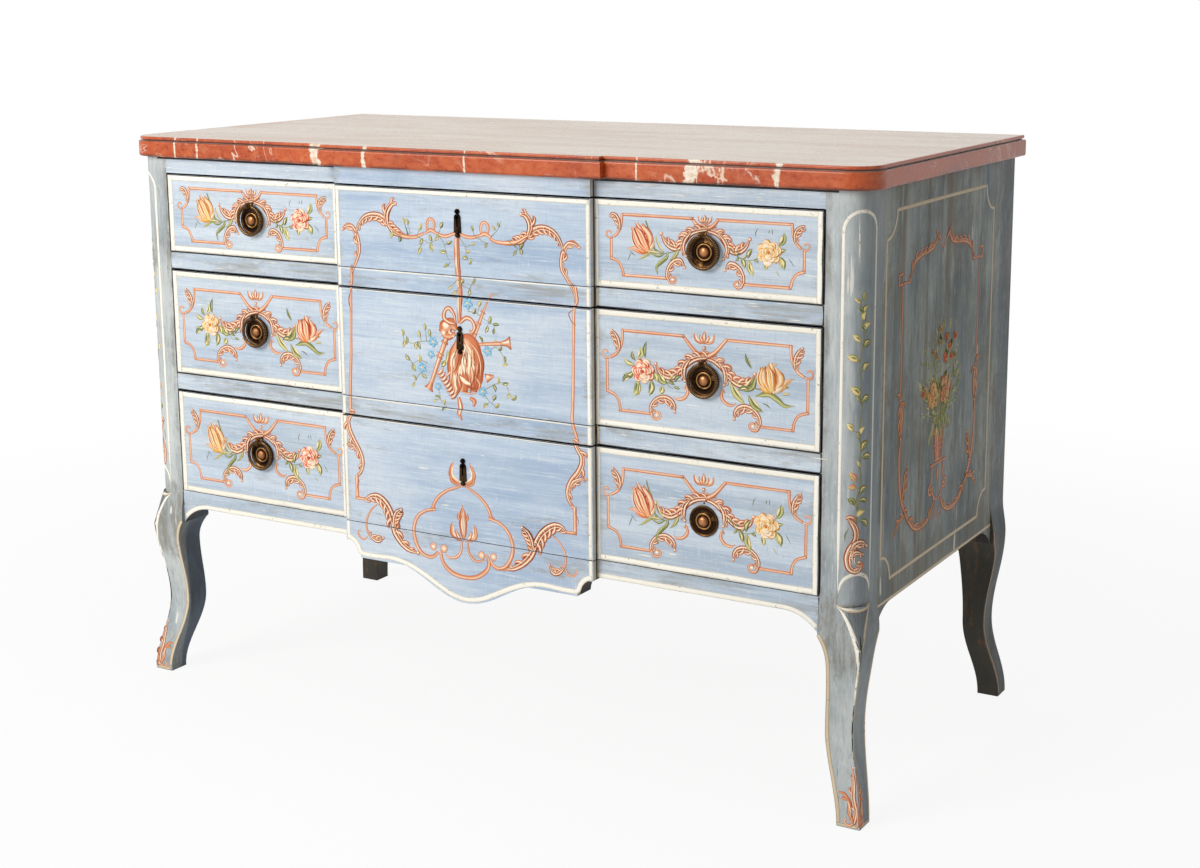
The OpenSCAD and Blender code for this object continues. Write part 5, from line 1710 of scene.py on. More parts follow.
            dx, dy = tip[0] - base[0], tip[1] - base[1]
            for share in (-0.2, 0.22):
                p.leaf((base[0] + dx * 0.1, base[1] + dy * 0.1),
                       (base[0] + dx * 0.85 + share * w * 0.6, base[1] + dy * 0.85), w * 0.22,
                       bend + share * 0.3, PEACH)
        p.leaf((-7, 333), (-10, 345), 5, 0.2, RUST)
        p.leaf((1, 333), (5, 346), 5, -0.2, RUST)
        p.lay([(-2.5, 306), (-2.5, 330), (-3, 350)], (0.6, 1.2, 0.4), DEEP)
        for s, x in ((-1, -17), (1, 11)):
            p.leaf((s * 3 - 1, 386), (x, 421), 8, 0.32 * s * -1, RUST)
            p.leaf((s * 4 - 1, 390), (x * 0.95, 416), 3.6, 0.32 * s * -1, PEACH)
            p.leaf((s * 4 - 1, 384), (x - s * -5, 408), 5, 0.3 * s * -1, RUST)

    def trophy(self, p: Painter) -> None:
        """Paints the bagpipe trophy: bag, pipes, bow, tails, flowers and sprays."""
        p.sprig([(-50, 592), (-68, 590), (-84, 586), (-98, 588)],
                [(-61, 612), (-52, 604), (-70, 601), (-101, 600), (-94, 590), (-99, 584), (-79, 582),
                 (-72, 584)], 10, 5)
        p.sprig([(-58, 560), (-72, 562), (-84, 556)], [(-92, 565), (-72, 565), (-82, 551)], 10, 5.4)
        p.sprig([(-66, 548), (-74, 540), (-81, 530)], [(-81, 536), (-64, 539), (-84, 526)], 9, 4.4)
        p.sprig([(14, 640), (28, 638), (44, 630), (58, 624)],
                [(52, 631), (61, 624), (45, 617), (57, 615), (25, 641), (35, 652)], 9, 4.8)
        p.sprig([(46, 588), (62, 592), (74, 578), (78, 570)],
                [(67, 592), (75, 569), (74, 577), (35, 602), (60, 600)], 8, 4)
        p.sprig([(40, 530), (58, 540), (74, 543), (82, 528), (92, 522)],
                [(75, 542), (56, 534), (80, 525), (89, 524), (62, 546)], 9, 4.8)
        p.sprig([(38, 524), (48, 514), (58, 508)], [(60, 510), (41, 507), (57, 520)], 9, 4.8)
        p.sprig([(-38, 520), (-36, 508), (-26, 500)], [(-29, 505), (-42, 512), (-31, 495), (-46, 506)], 8, 4)
        p.sprig([(-2, 684), (6, 676), (18, 672)], [(-15, 672), (6, 682), (25, 684), (17, 667), (-8, 664)], 9,
                4.6)
        for spot, radius in (((14, 651), 9), ((-47, 591), 8.5), ((-51, 573), 7), ((-67, 552), 8.5),
                             ((46, 586), 8.5), ((36, 527), 8), ((-40, 527), 6.5)):
            p.floret(spot, radius)
        p.leaf((-28, 566), (-34, 556), 8, 0.1, OLIVE)
        p.leaf((-22, 582), (-26, 560), 7, 0.1, STRAW)
        # Tails of the bow
        p.curve([(-5, 515), (-2, 500), (-5, 492), (0, 482)], (6, 9, 7, 3), RUST)
        p.curve([(-4, 512), (-2, 500), (-4, 490)], (1.6, 3.4, 1.6), PEACH)
        p.curve([(14, 516), (22, 512), (20, 504)], (5, 8, 4), RUST)
        # Long pipe, horn and drones behind the bag
        p.curve([(22, 602), (31, 621), (39, 639), (47, 655)], (7, 6.4, 5, 2.6))
        p.curve([(46, 653), (51, 661), (56, 668)], (1.6, 2.2, 4))
        for spot in ((24.5, 609), (32, 624), (39.5, 640)):
            p.curve([(spot[0] - 4, spot[1] + 2), (spot[0] + 4, spot[1] - 1.6)], (2.4, 2.4), RUST)
        p.curve([(28, 594), (48, 596.5), (72, 599)], (4.6, 5.6, 6.6))
        p.curve([(68, 599), (76, 600), (85, 601)], (5, 9, 20), RUST)
        p.curve([(70, 600), (77, 601), (83, 603)], (1.4, 3, 6), PEACH)
        p.curve([(42, 547), (48, 549), (56, 552)], (14, 9, 3), RUST)
        p.curve([(43, 549), (50, 550)], (6, 2), PEACH)
        # The bag with its folds
        p.curve([(4, 600), (14, 596), (17, 575), (18, 550), (16, 526)], (16, 38, 46, 40, 22), RUST)
        p.curve([(-2, 556), (2, 540), (2, 524)], (18, 26, 18), RUST)
        p.curve([(-4, 596), (-9, 575), (-10, 552), (-8, 532), (-12, 520)], (10, 22, 28, 24, 12), RUST)
        for line, w, paint in (
            (((2, 598), (10, 582), (4, 560), (-8, 548)), 6, PEACH),
            (((8, 596), (19, 580), (22, 560), (18, 540)), 5, PEACH),
            (((14, 598), (28, 584), (34, 566), (33, 548)), 4, LINE),
            (((-4, 590), (-10, 572), (-14, 556), (-24, 544)), 5, PEACH),
            (((20, 570), (28, 556), (27, 540), (22, 530)), 3, DEEP),
            (((6, 590), (13, 574), (11, 556), (3, 544)), 2.4, DEEP),
            (((-2, 588), (-3, 570), (-8, 556), (-16, 546)), 2.2, DEEP),
            (((30, 592), (38, 574), (38, 558), (34, 546)), 2.4, DEEP),
            (((-14, 566), (-16, 548), (-18, 534)), 6, LINE), (((-12, 540), (-8, 530), (-12, 518)), 5, PEACH),
            (((-2, 546), (8, 538), (18, 536)), 7, PEACH), (((8, 534), (20, 530), (28, 532)), 4, DEEP),
            (((24, 548), (32, 538), (30, 528)), 5, LINE), (((0, 524), (12, 522), (26, 524)), 3, LINE),
        ):
            p.lay(line, (w * 0.25, w, w * 0.85, w * 0.2), paint)
        self.folds(p)
        for k in range(8):
            t = k / 7
            x, y = -39 + 23 * t, 547 - 33 * t
            p.leaf((x + 9, y + 7), (x - 3, y - 3), 6.2, 0.05, RUST)
            p.leaf((x + 7, y + 6), (x - 0.5, y - 1), 3.2, 0.05, PEACH)
        # Bulb and chanter
        p.curve([(-34, 606), (-26, 614), (-14, 618), (-6, 612)], (8, 22, 22, 8), RUST)
        p.curve([(-32, 604), (-20, 602), (-8, 606)], (6, 12, 6), RUST)
        for _ in range(5):
            p.dab((p.rng.uniform(-30, -10), p.rng.uniform(602, 616)), p.rng.uniform(1, 2), PEACH)
        p.dab((-24, 617), 6, PEACH)
        p.dab((-28, 606), 3.4, PEACH)
        p.curve([(-24, 598), (-36, 570), (-46, 545), (-53, 528)], (8.4, 8, 7, 7))
        p.curve([(-26, 596), (-37, 570), (-47, 545), (-54, 530)], (1.4, 2.6, 2.2, 1), PEACH)
        p.curve([(-52, 532), (-55, 525), (-57, 521)], (6, 10, 17), RUST)
        for spot in ((-27, 592), (-34.5, 575), (-37, 570)):
            p.curve([(spot[0] - 5.5, spot[1] + 2), (spot[0] + 5.5, spot[1] - 2.4)], (3, 3), RUST)
        # Bow
        for line in ([(-8, 620), (-20, 622), (-27, 628), (-25, 638), (-18, 642), (-10, 634), (-7, 622)],
                     [(0, 622), (10, 630), (20, 628), (25, 618), (20, 610), (16, 614)]):
            p.curve(line, (4, 6.4, 7, 6, 7, 5, 3), RUST)
            p.curve(line, (0.8, 1.6, 2.1, 1.7, 2.1, 1.3, 0.6), PEACH)

    def folds(self, p: Painter) -> None:
        """Paints the many fine folds of the bag."""
        bright = (PEACH, DEEP, PEACH, LINE, PEACH, DEEP)
        dull = (LINE, DEEP, PEACH, DEEP, RUST, DEEP)
        for k in range(30):
            across = -1 + 2 * ((k * 0.618) % 1)
            top = p.rng.uniform(546, 594)
            low = max(top - p.rng.uniform(16, 34), 522)
            line = []
            for t in (0.0, 0.35, 0.7, 1):
                z = top + (low - top) * t
                half = 12 + 12 * math.sin(min(max((600 - z) / 78, 0.0), 1) * math.pi * 0.82)
                middle = 9 + (z - 560) * 0.06
                line.append((middle + across * half + 2.2 * math.sin(z * 0.13 + k), z))
            paint = (bright if across < 0.35 else dull)[k % 6]
            wide = p.rng.uniform(1.2, 2.2) if paint is DEEP else p.rng.uniform(4.4, 7.6)
            p.lay(line, (0.3, wide, wide * 0.8, 0.3), paint)


def apron_line(inset: float) -> list[Point]:
    """Gives a line that follows the apron's lower edge from left to right.

    Args:
        inset: How far it lies above the edge.

    Returns:
        Its points in millimetres.
    """
    half = [(213, 277), (208, 276.6), (201, 273), (194, 265.5), (190.5, 257), (184, 254), (165, 253.6),
            (133, 255),
            (112, 252.6), (92, 247), (70, 237.5), (48, 226.5), (26, 216.8), (10, 213.2), (0.0, 212.5)]
    left = [(-x, z + inset) for x, z in half]
    return left + [(x, z + inset) for x, z in half[::-1]][1:]


def leg_in(z: float) -> float:
    """How far inside the body's side a front leg's inner line lies at a height."""
    if z < ANKLE_Z:
        return 21.5 + 27 * ease(z / ANKLE_Z)
    if z < BRACKET_Z:
        return 48.5 + (BRACKET_IN - 48.5) * ease((z - ANKLE_Z) / (BRACKET_Z - ANKLE_Z))
    return BRACKET_IN


BRACKET_IN = 47 - leg_out(BRACKET_Z)
BRACKET_R = 63.5


def bracket_line(inset: float, start: float, stop: float) -> list[Point]:
    """Gives a line along the curve between a leg and a rail.

    Args:
        inset: How far it lies from the edge.
        start: The angle where it starts, in degrees from the leg.
        stop: Where it ends.

    Returns:
        Points as the distance in from the body's side, and the height.
    """
    reach = BRACKET_R + inset
    turns = [math.radians(start + (stop - start) * k / 10) for k in range(11)]
    return [(BRACKET_IN + BRACKET_R - reach * math.cos(t), BRACKET_Z + reach * math.sin(t)) for t in turns]


@dataclass
class RailOrnament:
    """The cream edge under the side fields, and the dark lines of painted shadow round the openings."""

    def build(self) -> None:
        """Paints both ends of the front."""
        for sign in (-1, 1):
            side = side_name(sign)
            canvas = Canvas(f"bottom_rail_edge_{side}", "carcass", FrontFace(0.0), None)
            arc = [(sign * (HALF_W - a), z)
                   for a, z in bracket_line(3.6, 38, 90) if HALF_W - a < HALF_W - POST_W - 0.4]
            line = arc + [(sign * x, 283.6) for x in (470, 420, 360, 300, 250, 216)]
            canvas.stroke(line, [7.2, 6.6, 7.6, 7, 7.8, 7.2, 7.4], CREAM, 0.12, 5)
            canvas.stroke([(sign * 216.6, 304), (sign * 216.4, 281)], (2.4, 2), TAN, 0.12)
            # Painted shadow: dark lines in the gaps beside the openings, at the steps, along the rails' edges
            # and under the top.
            for low, high in (*RAILS.values(), (280.5, 305)):
                canvas.stroke([(sign * 549.6, low + 0.4), (sign * 549.9, (low + high) / 2),
                               (sign * 549.6, high - 0.4)], (2.6, 1.6, 2.6) if sign > 0 else (1.4, 0.6, 1.4),
                               SHADE_AND_SOOT, 0.1)
            for low, high in RAILS.values():
                canvas.stroke([(sign * 218.4, low + 0.4), (sign * 218.6, high - 0.4)], (5.4, 4.6, 5.8), TAN,
                              0.1)
                canvas.stroke([(sign * 216, low + 0.4), (sign * 216, high - 0.4)], (1.2, 1.8), SHADE_AND_SOOT, 0.1)
                for z in (low + 0.7, high - 0.6):
                    canvas.stroke([(sign * 218, z), (sign * 380, z), (sign * 548.8, z)],
                                  (1.5, 1.2, 1.6, 1.3, 1.5), SHADE_AND_SOOT, 0.1, 5)
            for low, high in ((497.6, 660.8), (306, 469.4), (689.4, 809)) if sign > 0 else ():
                canvas.stroke([(sign * 551, low), (sign * 551.1, (low + high) / 2), (sign * 551, high)],
                              (1, 1.5, 0.9, 1.6, 1), SHADE_AND_SOOT, 0.1)
            canvas.stroke([(sign * 216, 832.6), (sign * 380, 832.4), (sign * 568, 832.6)],
                          (3.6, 3, 3.8, 3.2, 3.6), SHADE_AND_SOOT, 0.1, 5)
            self.rubs(canvas, sign)
            canvas.build("blue_paint")

    def rubs(self, canvas: Canvas, sign: int) -> None:
        """Adds short pale rubs and stains along the rails.

        Args:
            canvas: Where they are painted.
            sign: Which end of the front.
        """
        rng = canvas.rng
        for low, high in (*RAILS.values(), (810, 833)):
            for _ in range(9):
                x, z = rng.uniform(230, 540), rng.uniform(low + 4, high - 4)
                long = rng.uniform(8, 34)
                canvas.stroke([(sign * x, z), (sign * (x + long), z + rng.uniform(-0.6, 0.6))],
                              (0.3, rng.uniform(0.5, 1.3), 0.3), CREAM, 0.05, 4)


@dataclass
class CornerOrnament:
    """The cream loop, the vine and the scroll on one rounded corner, and its ledge and spandrel."""

    sign: int

    def build(self) -> None:
        """Paints the corner."""
        side = side_name(self.sign)
        canvas = Canvas(f"corner_{side}", "carcass", SnapFace(f"post_front_{side}", CornerFace(self.sign)))
        p = Painter([canvas], f"corner_{side}")
        self.loop(p)
        self.vine(p)
        self.scroll(p)
        self.spandrel(p)
        canvas.build("blue_paint")

    def loop(self, p: Painter) -> None:
        """Draws the long loop with its round head and horned foot."""
        arch = [(49.5 - 24.5 * math.cos(math.radians(d)),
                 783 + 25.5 * math.sin(math.radians(d))) for d in range(0, 181, 20)]
        p.lay([(25, 318), (25, 560), (25, 770)] + arch + [(74, 770), (74, 560), (74, 318)],
              [1, 4.6, 4.4, 4.8, 4.4, 4.6, 4.8, 5, 4.6, 4.8, 4.4, 4.6, 4.4, 4.6, 1], CREAM, 0.14, 3.4)
        p.lay([(25.8, 314), (29, 327), (36, 336), (49.5, 341), (63, 336), (70, 327), (73.2, 314)],
              (1.2, 4.2, 5.4, 6.2, 5.4, 4.2, 1.2), CREAM, 0.16, 2)
        for z, long in ((806, 60), (798, 40), (770, 26)):
            p.lay([(44.5, z), (45.2, z - long * 0.5), (46.4, z - long)], (0.4, 1.6, 0.3), CREAM, 0.08, 4)

    def vine(self, p: Painter) -> None:
        """Paints the vine with its yellow-green leaves."""
        def true(s: float, z: float) -> Point:
            """Takes the lean out of the measured place."""
            return (s + 6 - 9 * (700 - z) / 360, z)

        stem = [(44, 704), (43, 688), (46, 672), (48, 655), (48, 640), (45, 622), (45, 604), (48, 590),
                (46, 576), (50, 562), (49, 545), (48, 528), (50, 512),
                (51, 500), (49, 486), (53, 470), (52, 455), (48, 440), (50, 424), (49, 408), (45, 392)]
        p.lay([true(*q) for q in stem], (0.8, 1.5, 1.3, 1.6, 1.4, 1.6, 1.2), STALK, 0.16, 2.6)
        for s, z, da, dz, long, wide, paint in (
            (46, 702, 0, 1, 12, 6, 0), (38, 696, -1, 0.8, 11, 5, 1), (43, 684, -0.5, 1, 14, 6, 2),
            (50, 686, 0.6, 1, 12, 6, 0), (48, 677, 0.2, 1, 12, 6, 1), (53, 664, 0.8, 0.6, 14, 8.5, 1),
            (47, 661, -0.4, 1, 12, 6, 2), (39, 648, -0.8, 0.7, 14, 9, 1), (55, 641, 0.9, 0.5, 14, 10, 2),
            (35, 622, -0.9, 0.4, 16, 10, 1), (54, 612, 0.8, 0.7, 14, 9, 0),
            (40, 580, -0.8, 0.7, 17, 11, 1), (44, 571, -0.6, 0.9, 9, 5, 0), (56, 570, 1, 0.4, 13, 10, 2),
            (35, 534, -0.7, 0.8, 13, 9.5, 1), (52, 530, 0.6, 1, 12, 7, 1), (46, 524, -0.3, 1, 9, 5, 0),
            (57, 510, 0.6, 0.8, 16, 10, 2), (61, 494, 0.9, -0.1, 16, 10.5, 2), (49, 486, -0.6, 1, 12, 4, 1),
            (41, 469, -0.7, 0.9, 14, 9, 3), (42, 455, -1, 0.1, 11, 7.5, 3), (58, 452, 0.9, 0.5, 14, 9, 2),
            (41, 437, -0.8, 0.7, 13, 9, 2), (58, 437, 0.9, -0.3, 14, 8, 2), (55, 421, 0.9, 0.5, 14, 9, 1),
            (61, 407, 0.7, -0.7, 17, 9, 2),
        ):
            x, y = true(s, z)
            size = math.hypot(da, dz)
            ux, uy = da / size * long / 2, dz / size * long / 2
            main = (OLIVE, STRAW, OLIVE, APRICOT)[paint]
            p.leaf((x - ux, y - uy), (x + ux, y + uy), wide, 0.12 if da > 0 else -0.12, main)
            p.leaf((x - ux * 0.8 + uy * 0.14, y - uy * 0.8 - ux * 0.14),
                   (x + ux * 0.85 + uy * 0.1, y + uy * 0.85 - ux * 0.1), wide * 0.42, 0.1,
                   FERN if paint == 2 else BUTTER if paint == 1 else STRAW)
            near = min(stem, key=lambda q: abs(q[1] - z + 6))
            p.lay([true(*near), (x - ux, y - uy)], (0.8, 0.6), STALK)

    def scroll(self, p: Painter) -> None:
        """Paints the acanthus scroll under the vine."""
        p.acanthus([(35, 416), (43, 408), (48, 397), (47, 385), (41, 375), (37, 362), (39, 350), (47, 344),
                    (55, 347), (57, 354), (52, 356)],
                   (1.5, 7, 7.5, 6.5, 8.5, 9, 8.5, 8, 7, 5, 3), 1, 3, 0.2)
        p.acanthus([(41, 372), (48, 381), (57, 382), (65, 376)], (3, 8, 6.5, 1.2), -1, 3, 0.4)
        p.acanthus([(41, 363), (48, 369), (59, 366)], (3, 6.5, 1.2), -1, 2, 0.4)
        for line in ([(43, 371), (40, 362), (42, 353)], [(45, 373), (43, 363), (45, 355)],
                     [(47, 365), (46, 358), (49, 353)]):
            p.lay(line, (0.4, 1.3, 0.4), PEACH)
        p.lay([(33, 384), (34, 394), (38, 402)], (0.6, 2.2, 0.6), FERN)
        p.dab((53, 352), 3.4, RUST)

    def spandrel(self, p: Painter) -> None:
        """Paints the ledge and the tapering spandrel under it."""
        for share in (-0.8, -0.45, -0.1, 0.25, 0.6, 0.9):
            p.lay([(49 + share * 17, 293), (49 + share * 7.5, 270), (49 + share * 1.5, 244)], (7.6, 5.6, 1.4),
                  SLATE, 0.08, 3)
        p.lay([(23.5, 298), (36, 294.6), (49, 293.6), (62, 294.6), (75.5, 298)], (2, 6.2, 7.4, 6.2, 2), TAN,
              0.14, 2.4)
        p.lay([(27, 296.5), (38, 294.5), (50, 294)], (0.8, 3, 0.6), CREAM, 0.14, 2.4)
        p.lay([(25, 297), (33.5, 288), (40, 274), (44.5, 256), (47.2, 238), (48.4, 216)],
              (1, 4.2, 4.6, 4.6, 4, 1.6), CREAM, 0.16, 2.4)
        p.lay([(74, 297), (65, 288), (58, 274), (53.6, 258), (50.8, 242)], (1, 3.8, 3.8, 3.4, 1), TAN, 0.16,
              2.4)
        p.lay([(49.4, 262), (49, 240), (48.8, 214)], (0.6, 2.6, 1.2), SHADE_AND_SOOT, 0.12, 2.4)


@dataclass
class LegOrnament:
    """The cream edges, the worn arris and the foot's acanthus of one front leg."""

    sign: int

    def build(self) -> None:
        """Paints the leg's front and its outer side."""
        side = side_name(self.sign)
        for label, face in (("front", LegFace(self.sign)), ("outer", LegFace(self.sign, True))):
            canvas = Canvas(f"leg_{label}_{side}", "carcass", SnapFace(f"post_front_{side}", face))
            p = Painter([canvas], f"leg_{label}_{side}")
            wide = 5.6 if label == "front" else 4
            line = [(leg_in(z) + leg_out(z) - wide * 0.52, z) for z in range(4, 216, 14)]
            line += [(a + leg_out(z), z) for a, z in bracket_line(wide * 0.52, 0.0, 90) if a < POST_W - 0.4]
            p.lay(line, [wide * f for f in (1, 1.1, 0.95, 1.1, 0.9, 1.05, 0.95, 1)], TAN, 0.14, 4)
            self.arris(p, label == "front")
            self.foot(p, 1 if label == "front" else 0.62)
            canvas.build("blue_paint")

    def hind(self) -> None:
        """Paints the line down the front edge of the back leg's outer side."""
        side = side_name(self.sign)
        face = SnapFace(f"post_back_{side}", SideFace(self.sign))
        canvas = Canvas(f"leg_hind_{side}", "carcass", face)
        p = Painter([canvas], f"leg_hind_{side}")
        line = [(face.edge(540, z, -1) + 4.2, z) for z in range(6, 282, 12)]
        p.lay(line, (3.4, 4.2, 3.6, 4.4, 3.8, 4.2, 3.4), UMBER, 0.14, 4)
        p.lay([(a - 0.8, z) for a, z in line], (1.6, 2.1, 1.5, 2.2, 1.7), OCHRE, 0.24, 4)
        canvas.build("blue_paint")

    def arris(self, p: Painter, front: bool) -> None:
        """Rubs the paint off along the corner, down to cream and black."""
        p.lay([(1.2, 228), (1.4, 196), (1, 160)], (2, 2.8, 3.4, 2.4, 1.2), CREAM if front else TAN, 0.1, 3)
        p.lay([(1, 164), (1.2, 124), (0.9, 84)], (1, 2, 2.2, 1.6, 1), SHADE_AND_SOOT if front else TAN, 0.1, 3)
        z = 214
        while front and z > 90:
            long = p.rng.uniform(5, 14)
            p.lay([(1, z), (1.4, z - long / 2), (1, z - long)], (0.4, p.rng.uniform(0.9, 1.6), 0.4),
                  p.rng.choice((SHADE_AND_SOOT, TAN)), 0.12, 3)
            z -= long * p.rng.uniform(1.2, 2.4)
        p.lay([(3, 3.4), (12, 3), (22, 3), (31, 3.4)], (3, 5, 4.4, 3), TAN, 0.12, 3)
        for _ in range(7):
            a, z = p.rng.uniform(6, 28), p.rng.uniform(10, 270)
            p.lay([(a, z), (a + 0.3, z - p.rng.uniform(5, 14))], (0.3, p.rng.uniform(0.4, 0.8), 0.3),
                  p.rng.choice((TAN, SLATE)), 0.05, 4)

    def foot(self, p: Painter, scale: float) -> None:
        """Paints the leaves that climb from the toe.

        Args:
            p: The painter.
            scale: How far they spread from the corner.
        """
        def at(a: float, z: float) -> Point:
            """Sets a point out from the corner."""
            return (a * scale, z)

        p.acanthus([at(9, 7), at(5, 24), at(7, 40), at(4.6, 58), at(3, 80)], (5, 6, 6.4, 5.4, 1.4),
                   -1 if self.sign > 0 else 1, 4, 0.25)
        p.curve([at(9, 10), at(14, 22), at(13, 34), at(19, 44), at(27, 45)], (4, 6.6, 6.4, 6, 2.4), RUST)
        p.lay([at(12, 18), at(13, 30), at(18, 40)], (0.6, 1.8, 0.6), PEACH)
        p.leaf(at(14, 36), at(25, 37), 4.4, 0.2, RUST)
        p.curve([at(9, 8), at(14, 4.5), at(20, 6), at(20.5, 11), at(16.5, 12)], (3, 3.8, 3.8, 3.4, 2))
        p.lay([at(2, 4), at(2.4, 20), at(1.6, 36)], (3.4, 3, 0.8), RUST)


@dataclass
class SideOrnament:
    """The cream frame, the scrolled frame, the urn and its flowers on one side."""

    sign: int
    centre: float = 271.5

    def build(self) -> None:
        """Paints the side."""
        side = side_name(self.sign)
        canvas = Canvas(f"side_ornament_{side}", "carcass", SideFace(self.sign))
        self.frame_line(Painter([canvas], f"side_{side}"))
        p = Painter([canvas], f"side_{side}", (self.centre, 0.0))
        self.scrolled_frame(p)
        self.urn(p)
        self.bouquet(p)
        canvas.build("side_paint")

    def frame_line(self, p: Painter) -> None:
        """Draws the cream line with its hollowed corners, and the rail's lower edge."""
        low, high, top, foot = 67.5, 475.5, 801.5, 311.5
        for a0, a1, b0, b1 in ((low + 33, high - 33, top, top), (low + 33, high - 33, foot, foot),
                               (low, low, foot + 35, top - 35), (high, high, foot + 35, top - 35)):
            p.lay([(a0, b0), ((a0 + a1) / 2, (b0 + b1) / 2 + 0.3), (a1, b1)], (5.4, 6, 5.4, 5.8, 5.4), TAN,
                  0.14, 5)
        for a, b, da, db in ((low, top, 1, -1), (high, top, -1, -1), (low, foot, 1, 1), (high, foot, -1, 1)):
            turn = [(a + da * 33.5 * math.sin(math.radians(d)),
                     b + db * 35.5 * math.cos(math.radians(d))) for d in (-2, 20, 40, 60, 80, 92)]
            p.lay(turn, (5.6, 5, 5.2, 5.6), TAN, 0.14, 2.4)
        p.lay([(56, 283), (160, 282.6), (300, 282.8), (420, 282.6), (506, 283)],
              (4.4, 5.2, 4.4, 5.6, 4.6, 5.2), TAN, 0.14, 5)

    def scrolled_frame(self, p: Painter) -> None:
        """Paints the terracotta frame."""
        p.scheme = (SIENNA, OCHRE, BRICK)
        p.swell = 1.15
        for s in (1, -1):
            m = mirror(s)
            p.band(m([(146, 702), (146, 556)]), 5.4, SIENNA)
            p.band(m([(144, 702), (160, 702), (160, 716), (145, 716), (145, 703), (120, 702)]), 4.4, SIENNA)
            p.acanthus(m([(120, 702), (116, 715), (104, 727), (84, 733), (62, 735), (40, 738), (28, 744),
                          (21.5, 755)]), (4, 6, 8, 7.4, 6.4, 7.4, 7.6, 4), -s, 7, 0.35)
            p.acanthus(m([(62, 736), (50, 741), (38, 742)]), (2, 5, 1), s, 2, 0.4)
            p.acanthus(m([(20, 748), (24, 756), (30, 757)]), (5, 6, 2), s, 2, 0.3)
            p.curve(m([(20, 752), (13, 747), (7, 738), (0, 734)]), (5, 4.6, 4, 3), SIENNA)
            p.acanthus(m([(145, 556), (144, 545), (141, 525), (142, 505), (143, 492)]), (4, 9, 13, 11, 5), s,
                       4, 0.2)
            p.acanthus(m([(146, 548), (150, 556), (160, 557)]), (3, 5, 1.2), -s, 2, 0.4)
            p.acanthus(m([(142, 540), (134, 542), (126, 536)]), (3, 5, 1.2), s, 2, 0.4)
            p.curve(m([(143, 494), (145, 478), (145, 455), (142, 432), (136, 414), (127, 398), (118, 386)]),
                    (5, 9, 8, 9, 12, 12, 8), SIENNA)
            p.curve(m([(144, 486), (145.5, 460), (141, 430), (131, 404)]), (1, 2.2, 2.4, 1), OCHRE)
            p.acanthus(m([(132, 408), (126, 424), (123, 440), (114, 453)]), (5, 9, 9, 1.5), s, 4, 0.5)
            p.acanthus(m([(118, 386), (130, 384), (144, 380), (158, 364)]), (4, 7, 7, 1.5), s, 4, 0.45)
            p.acanthus(m([(124, 392), (112, 380), (98, 368), (82, 358), (64, 354), (46, 355), (30, 361),
                          (17, 374), (12, 383)]), (4, 8, 9.5, 9, 8, 7.4, 7.4, 7, 4), -s, 5, 0.3)
            p.curve(m([(14, 380), (10, 366), (4, 356), (12, 354), (18, 358)]), (3.6, 4.4, 4, 3.4, 2), SIENNA)
        p.curve([(-12, 382), (0, 380), (12, 382)], (4, 4.4, 4), SIENNA)
        p.curve([(0, 735), (0, 726)], (4, 1.6), SIENNA)

    def urn(self, p: Painter) -> None:
        """Paints the urn and its stand."""
        p.lay([(0, 480), (0, 460), (0, 436)], (44, 40, 34, 27), SIENNA, 0.12)
        for z, half in ((481, 25), (476, 24), (459, 21), (452, 20), (437, 17)):
            p.curve([(-half, z), (0, z - 1.2), (half, z)], (2.6, 2.8, 2.6), SIENNA)
            p.lay([(-half * 0.7, z + 0.6), (0, z - 0.4), (half * 0.4, z + 0.5)], (0.5, 1.1, 0.5), OCHRE)
        for x in (-15, -8, 0, 8, 15):
            p.lay([(x, 474), (x * 0.9, 456), (x * 0.78, 440)], (0.5, 2, 0.5), BRICK)
            p.lay([(x + 2.6, 474), (x * 0.9 + 2.4, 458)], (0.4, 1.8, 0.4), OCHRE)
        p.band([(-29, 432), (30, 432)], 5, SIENNA)
        for s in (1, -1):
            p.curve([(s * 22, 430), (s * 22, 414), (s * 25, 403)], (5.6, 5, 5), SIENNA)
            p.curve([(s * 24, 406), (s * 32, 402), (s * 31, 393), (s * 22, 392), (s * 19, 399),
                     (s * 24, 400)], (6, 7, 7, 6.4, 4), SIENNA)
            p.dab((s * 25, 398), 2.4, OCHRE)
            p.curve([(s * 20, 394), (s * 14, 386), (s * 8, 382)], (6, 5.4, 3), SIENNA)
        p.leaf((0, 428), (0, 403), 11, 0.0, SIENNA)
        p.leaf((1, 426), (1, 408), 3.4, 0.0, OCHRE)

    def bouquet(self, p: Painter) -> None:
        """Paints the spray of leaves and the roses over the urn."""
        rng = p.rng
        greens = (OLIVE, MOSS, OLIVE, STRAW, MOSS)

        def spray(count: int, near: float, far_most: float, wide: float) -> None:
            """Scatters thin leaves in a fan."""
            for k in range(count):
                a = math.radians(rng.uniform(12, 168))
                far = rng.uniform(near, far_most) * (0.66 + 0.34 * math.sin(a))
                x, z = far * math.cos(a) * 0.8, 492 + far * math.sin(a) * 1.08
                long, lean = rng.uniform(7, 17), a + rng.uniform(-0.5, 0.5)
                if k % 6 == 0:
                    p.lay([(x * 0.2, 488), (x * 0.65, (z + 492) / 2 + 4), (x, z)], (0.5, 0.6, 0.4), STRAW)
                p.leaf((x, z), (x + long * math.cos(lean), z + long * math.sin(lean)),
                       wide * rng.uniform(0.6, 1.25), rng.uniform(-0.2, 0.2), rng.choice(greens))

